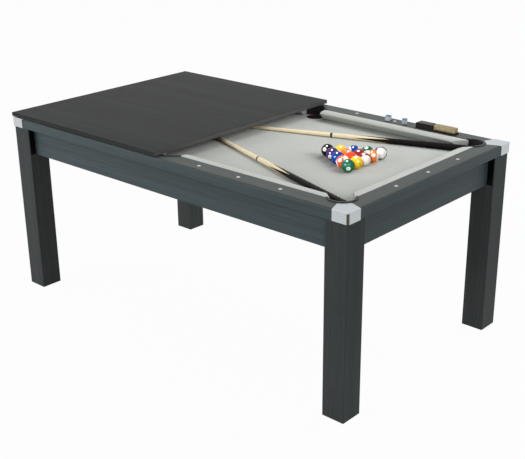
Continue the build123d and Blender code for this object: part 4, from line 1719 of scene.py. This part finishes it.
@dataclass
class Studio:
    """The plain floor, the soft light and the camera."""

    place: Triple = (2.723631, -2.915731, 1.936604)
    turn: Triple = (68.265767, 0.579443, 42.035873)
    lens: float = 67.8881
    sensor: float = 36.0
    ambient: float = 0.34
    floor_size: float = 30.0
    floor_white: float = 0.97

    def build(self) -> None:
        """Builds the whole studio, with the lamps that light every piece."""
        scene = bpy.context.scene
        scene.view_settings.view_transform = "Standard"
        self._camera(scene)
        self._world(scene)
        self._floor()
        KEY.hang()
        FRONT.hang()
        LOG.info("studio ready")

    def light_field(self, cloths: Sequence[Piece], cues: Sequence[Piece]) -> None:
        """Hangs the lamp that reaches in under the dining top's edge, and a fill for the cues.

        Args:
            cloths: the bed cloth and the cushions.
            cues: the pieces of the cues.
        """
        FIELD.hang(self._reach("field", [*cloths, *cues]))
        CUE_FILL.hang(self._reach("cues", cues))

    def polish(self, balls: Sequence[Piece]) -> None:
        """Hangs the lamps that shine in the polished balls, and a fill for them.

        Args:
            balls: the pieces that these lamps reach.
        """
        reached = self._reach("polished", balls)
        for lamp in (BALL_FILL, *SPARKLES):
            lamp.hang(reached)

    def _reach(self, name: str, pieces: Sequence[Piece]) -> bpy.types.Collection:
        """Lists the pieces that some lamps reach.

        Args:
            name: the list's name.
            pieces: the pieces.

        Returns:
            The list.
        """
        reached = bpy.data.collections.new(name)
        for piece in pieces:
            reached.objects.link(piece)
        return reached

    def _camera(self, scene: bpy.types.Scene) -> None:
        """Sets the camera at the photograph's viewing angle.

        Args:
            scene: the scene that it belongs to.
        """
        data = bpy.data.cameras.new("camera")
        data.lens = self.lens
        data.sensor_width = self.sensor
        data.sensor_fit = "HORIZONTAL"
        camera = bpy.data.objects.new("camera", data)
        camera.location = self.place
        camera.rotation_euler = [math.radians(angle) for angle in self.turn]
        scene.collection.objects.link(camera)
        scene.camera = camera

    def _seen(self, graph: Graph) -> Socket:
        """Tells the rays that show the background from those that light the object.

        Args:
            graph: the graph to build in.

        Returns:
            A socket that is 1 for rays that show the background.
        """
        path = graph.add("ShaderNodeLightPath").outputs
        straight = graph.math("MAXIMUM", path["Is Camera Ray"], path["Is Glossy Ray"])
        return graph.math("MAXIMUM", straight, path["Is Transmission Ray"])

    def _world(self, scene: bpy.types.Scene) -> None:
        """Makes a white backdrop that lights the object softly.

        Args:
            scene: the scene that it belongs to.
        """
        world = bpy.data.worlds.new("white_room")
        world.use_nodes = True
        world.node_tree.nodes.clear()
        graph = Graph(world.node_tree)
        shown = graph.add("ShaderNodeBackground", {"Color": rgb(1.0, 1.0, 1.0)})
        tint = {"Color": rgb(0.97, 0.99, 1.0), "Strength": self.ambient}
        light = graph.add("ShaderNodeBackground", tint)
        shaders = {0: self._seen(graph), 1: light.outputs[0], 2: shown.outputs[0]}
        mixed = graph.add("ShaderNodeMixShader", shaders)
        graph.add("ShaderNodeOutputWorld", {"Surface": mixed.outputs[0]})
        scene.world = world

    def _floor(self) -> None:
        """Lays a pale floor that keeps the table's soft shadow."""
        made = bmesh.new()
        bmesh.ops.create_grid(made, x_segments=2, y_segments=2, size=self.floor_size)
        floor = piece_from("studio_floor", to_mesh(made))
        material = bpy.data.materials.new("pale_floor")
        material.use_nodes = True
        material.node_tree.nodes.clear()
        graph = Graph(material.node_tree)
        matt = graph.add("ShaderNodeBsdfDiffuse", {"Color": rgb(0.72, 0.72, 0.72)})
        glow = graph.add("ShaderNodeEmission", {"Color": rgb(1.0, 1.0, 1.0)})
        white = graph.times(self._seen(graph), self.floor_white)
        shaders = {0: white, 1: matt.outputs[0], 2: glow.outputs[0]}
        mixed = graph.add("ShaderNodeMixShader", shaders)
        graph.add("ShaderNodeOutputMaterial", {"Surface": mixed.outputs[0]})
        dress(floor, material)


def main() -> None:
    """Builds every sub-assembly in order."""
    logging.basicConfig(level=logging.INFO, format="%(name)s: %(message)s")
    for leftover in list(bpy.data.objects):
        bpy.data.objects.remove(leftover)
    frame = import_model()
    nodes = frame["nodes"]
    finishes = Finishes()
    studio = Studio()
    studio.build()
    Cabinet(finishes, nodes).build()
    RailFrame(finishes, nodes).build()
    cloths = [BedCloth(finishes).build(), *Cushions(finishes).build()]
    cues = [nodes[f"cue_{index}_{part.value}"] for index in (1, 2) for part in CuePart]
    studio.light_field(cloths, cues)
    DiningTop(finishes, nodes).build()
    studio.polish(BallSet(finishes).build())
    CueSet(finishes, nodes).build()
    RailKit(finishes, nodes).build()


if __name__ == "__main__":
    main()
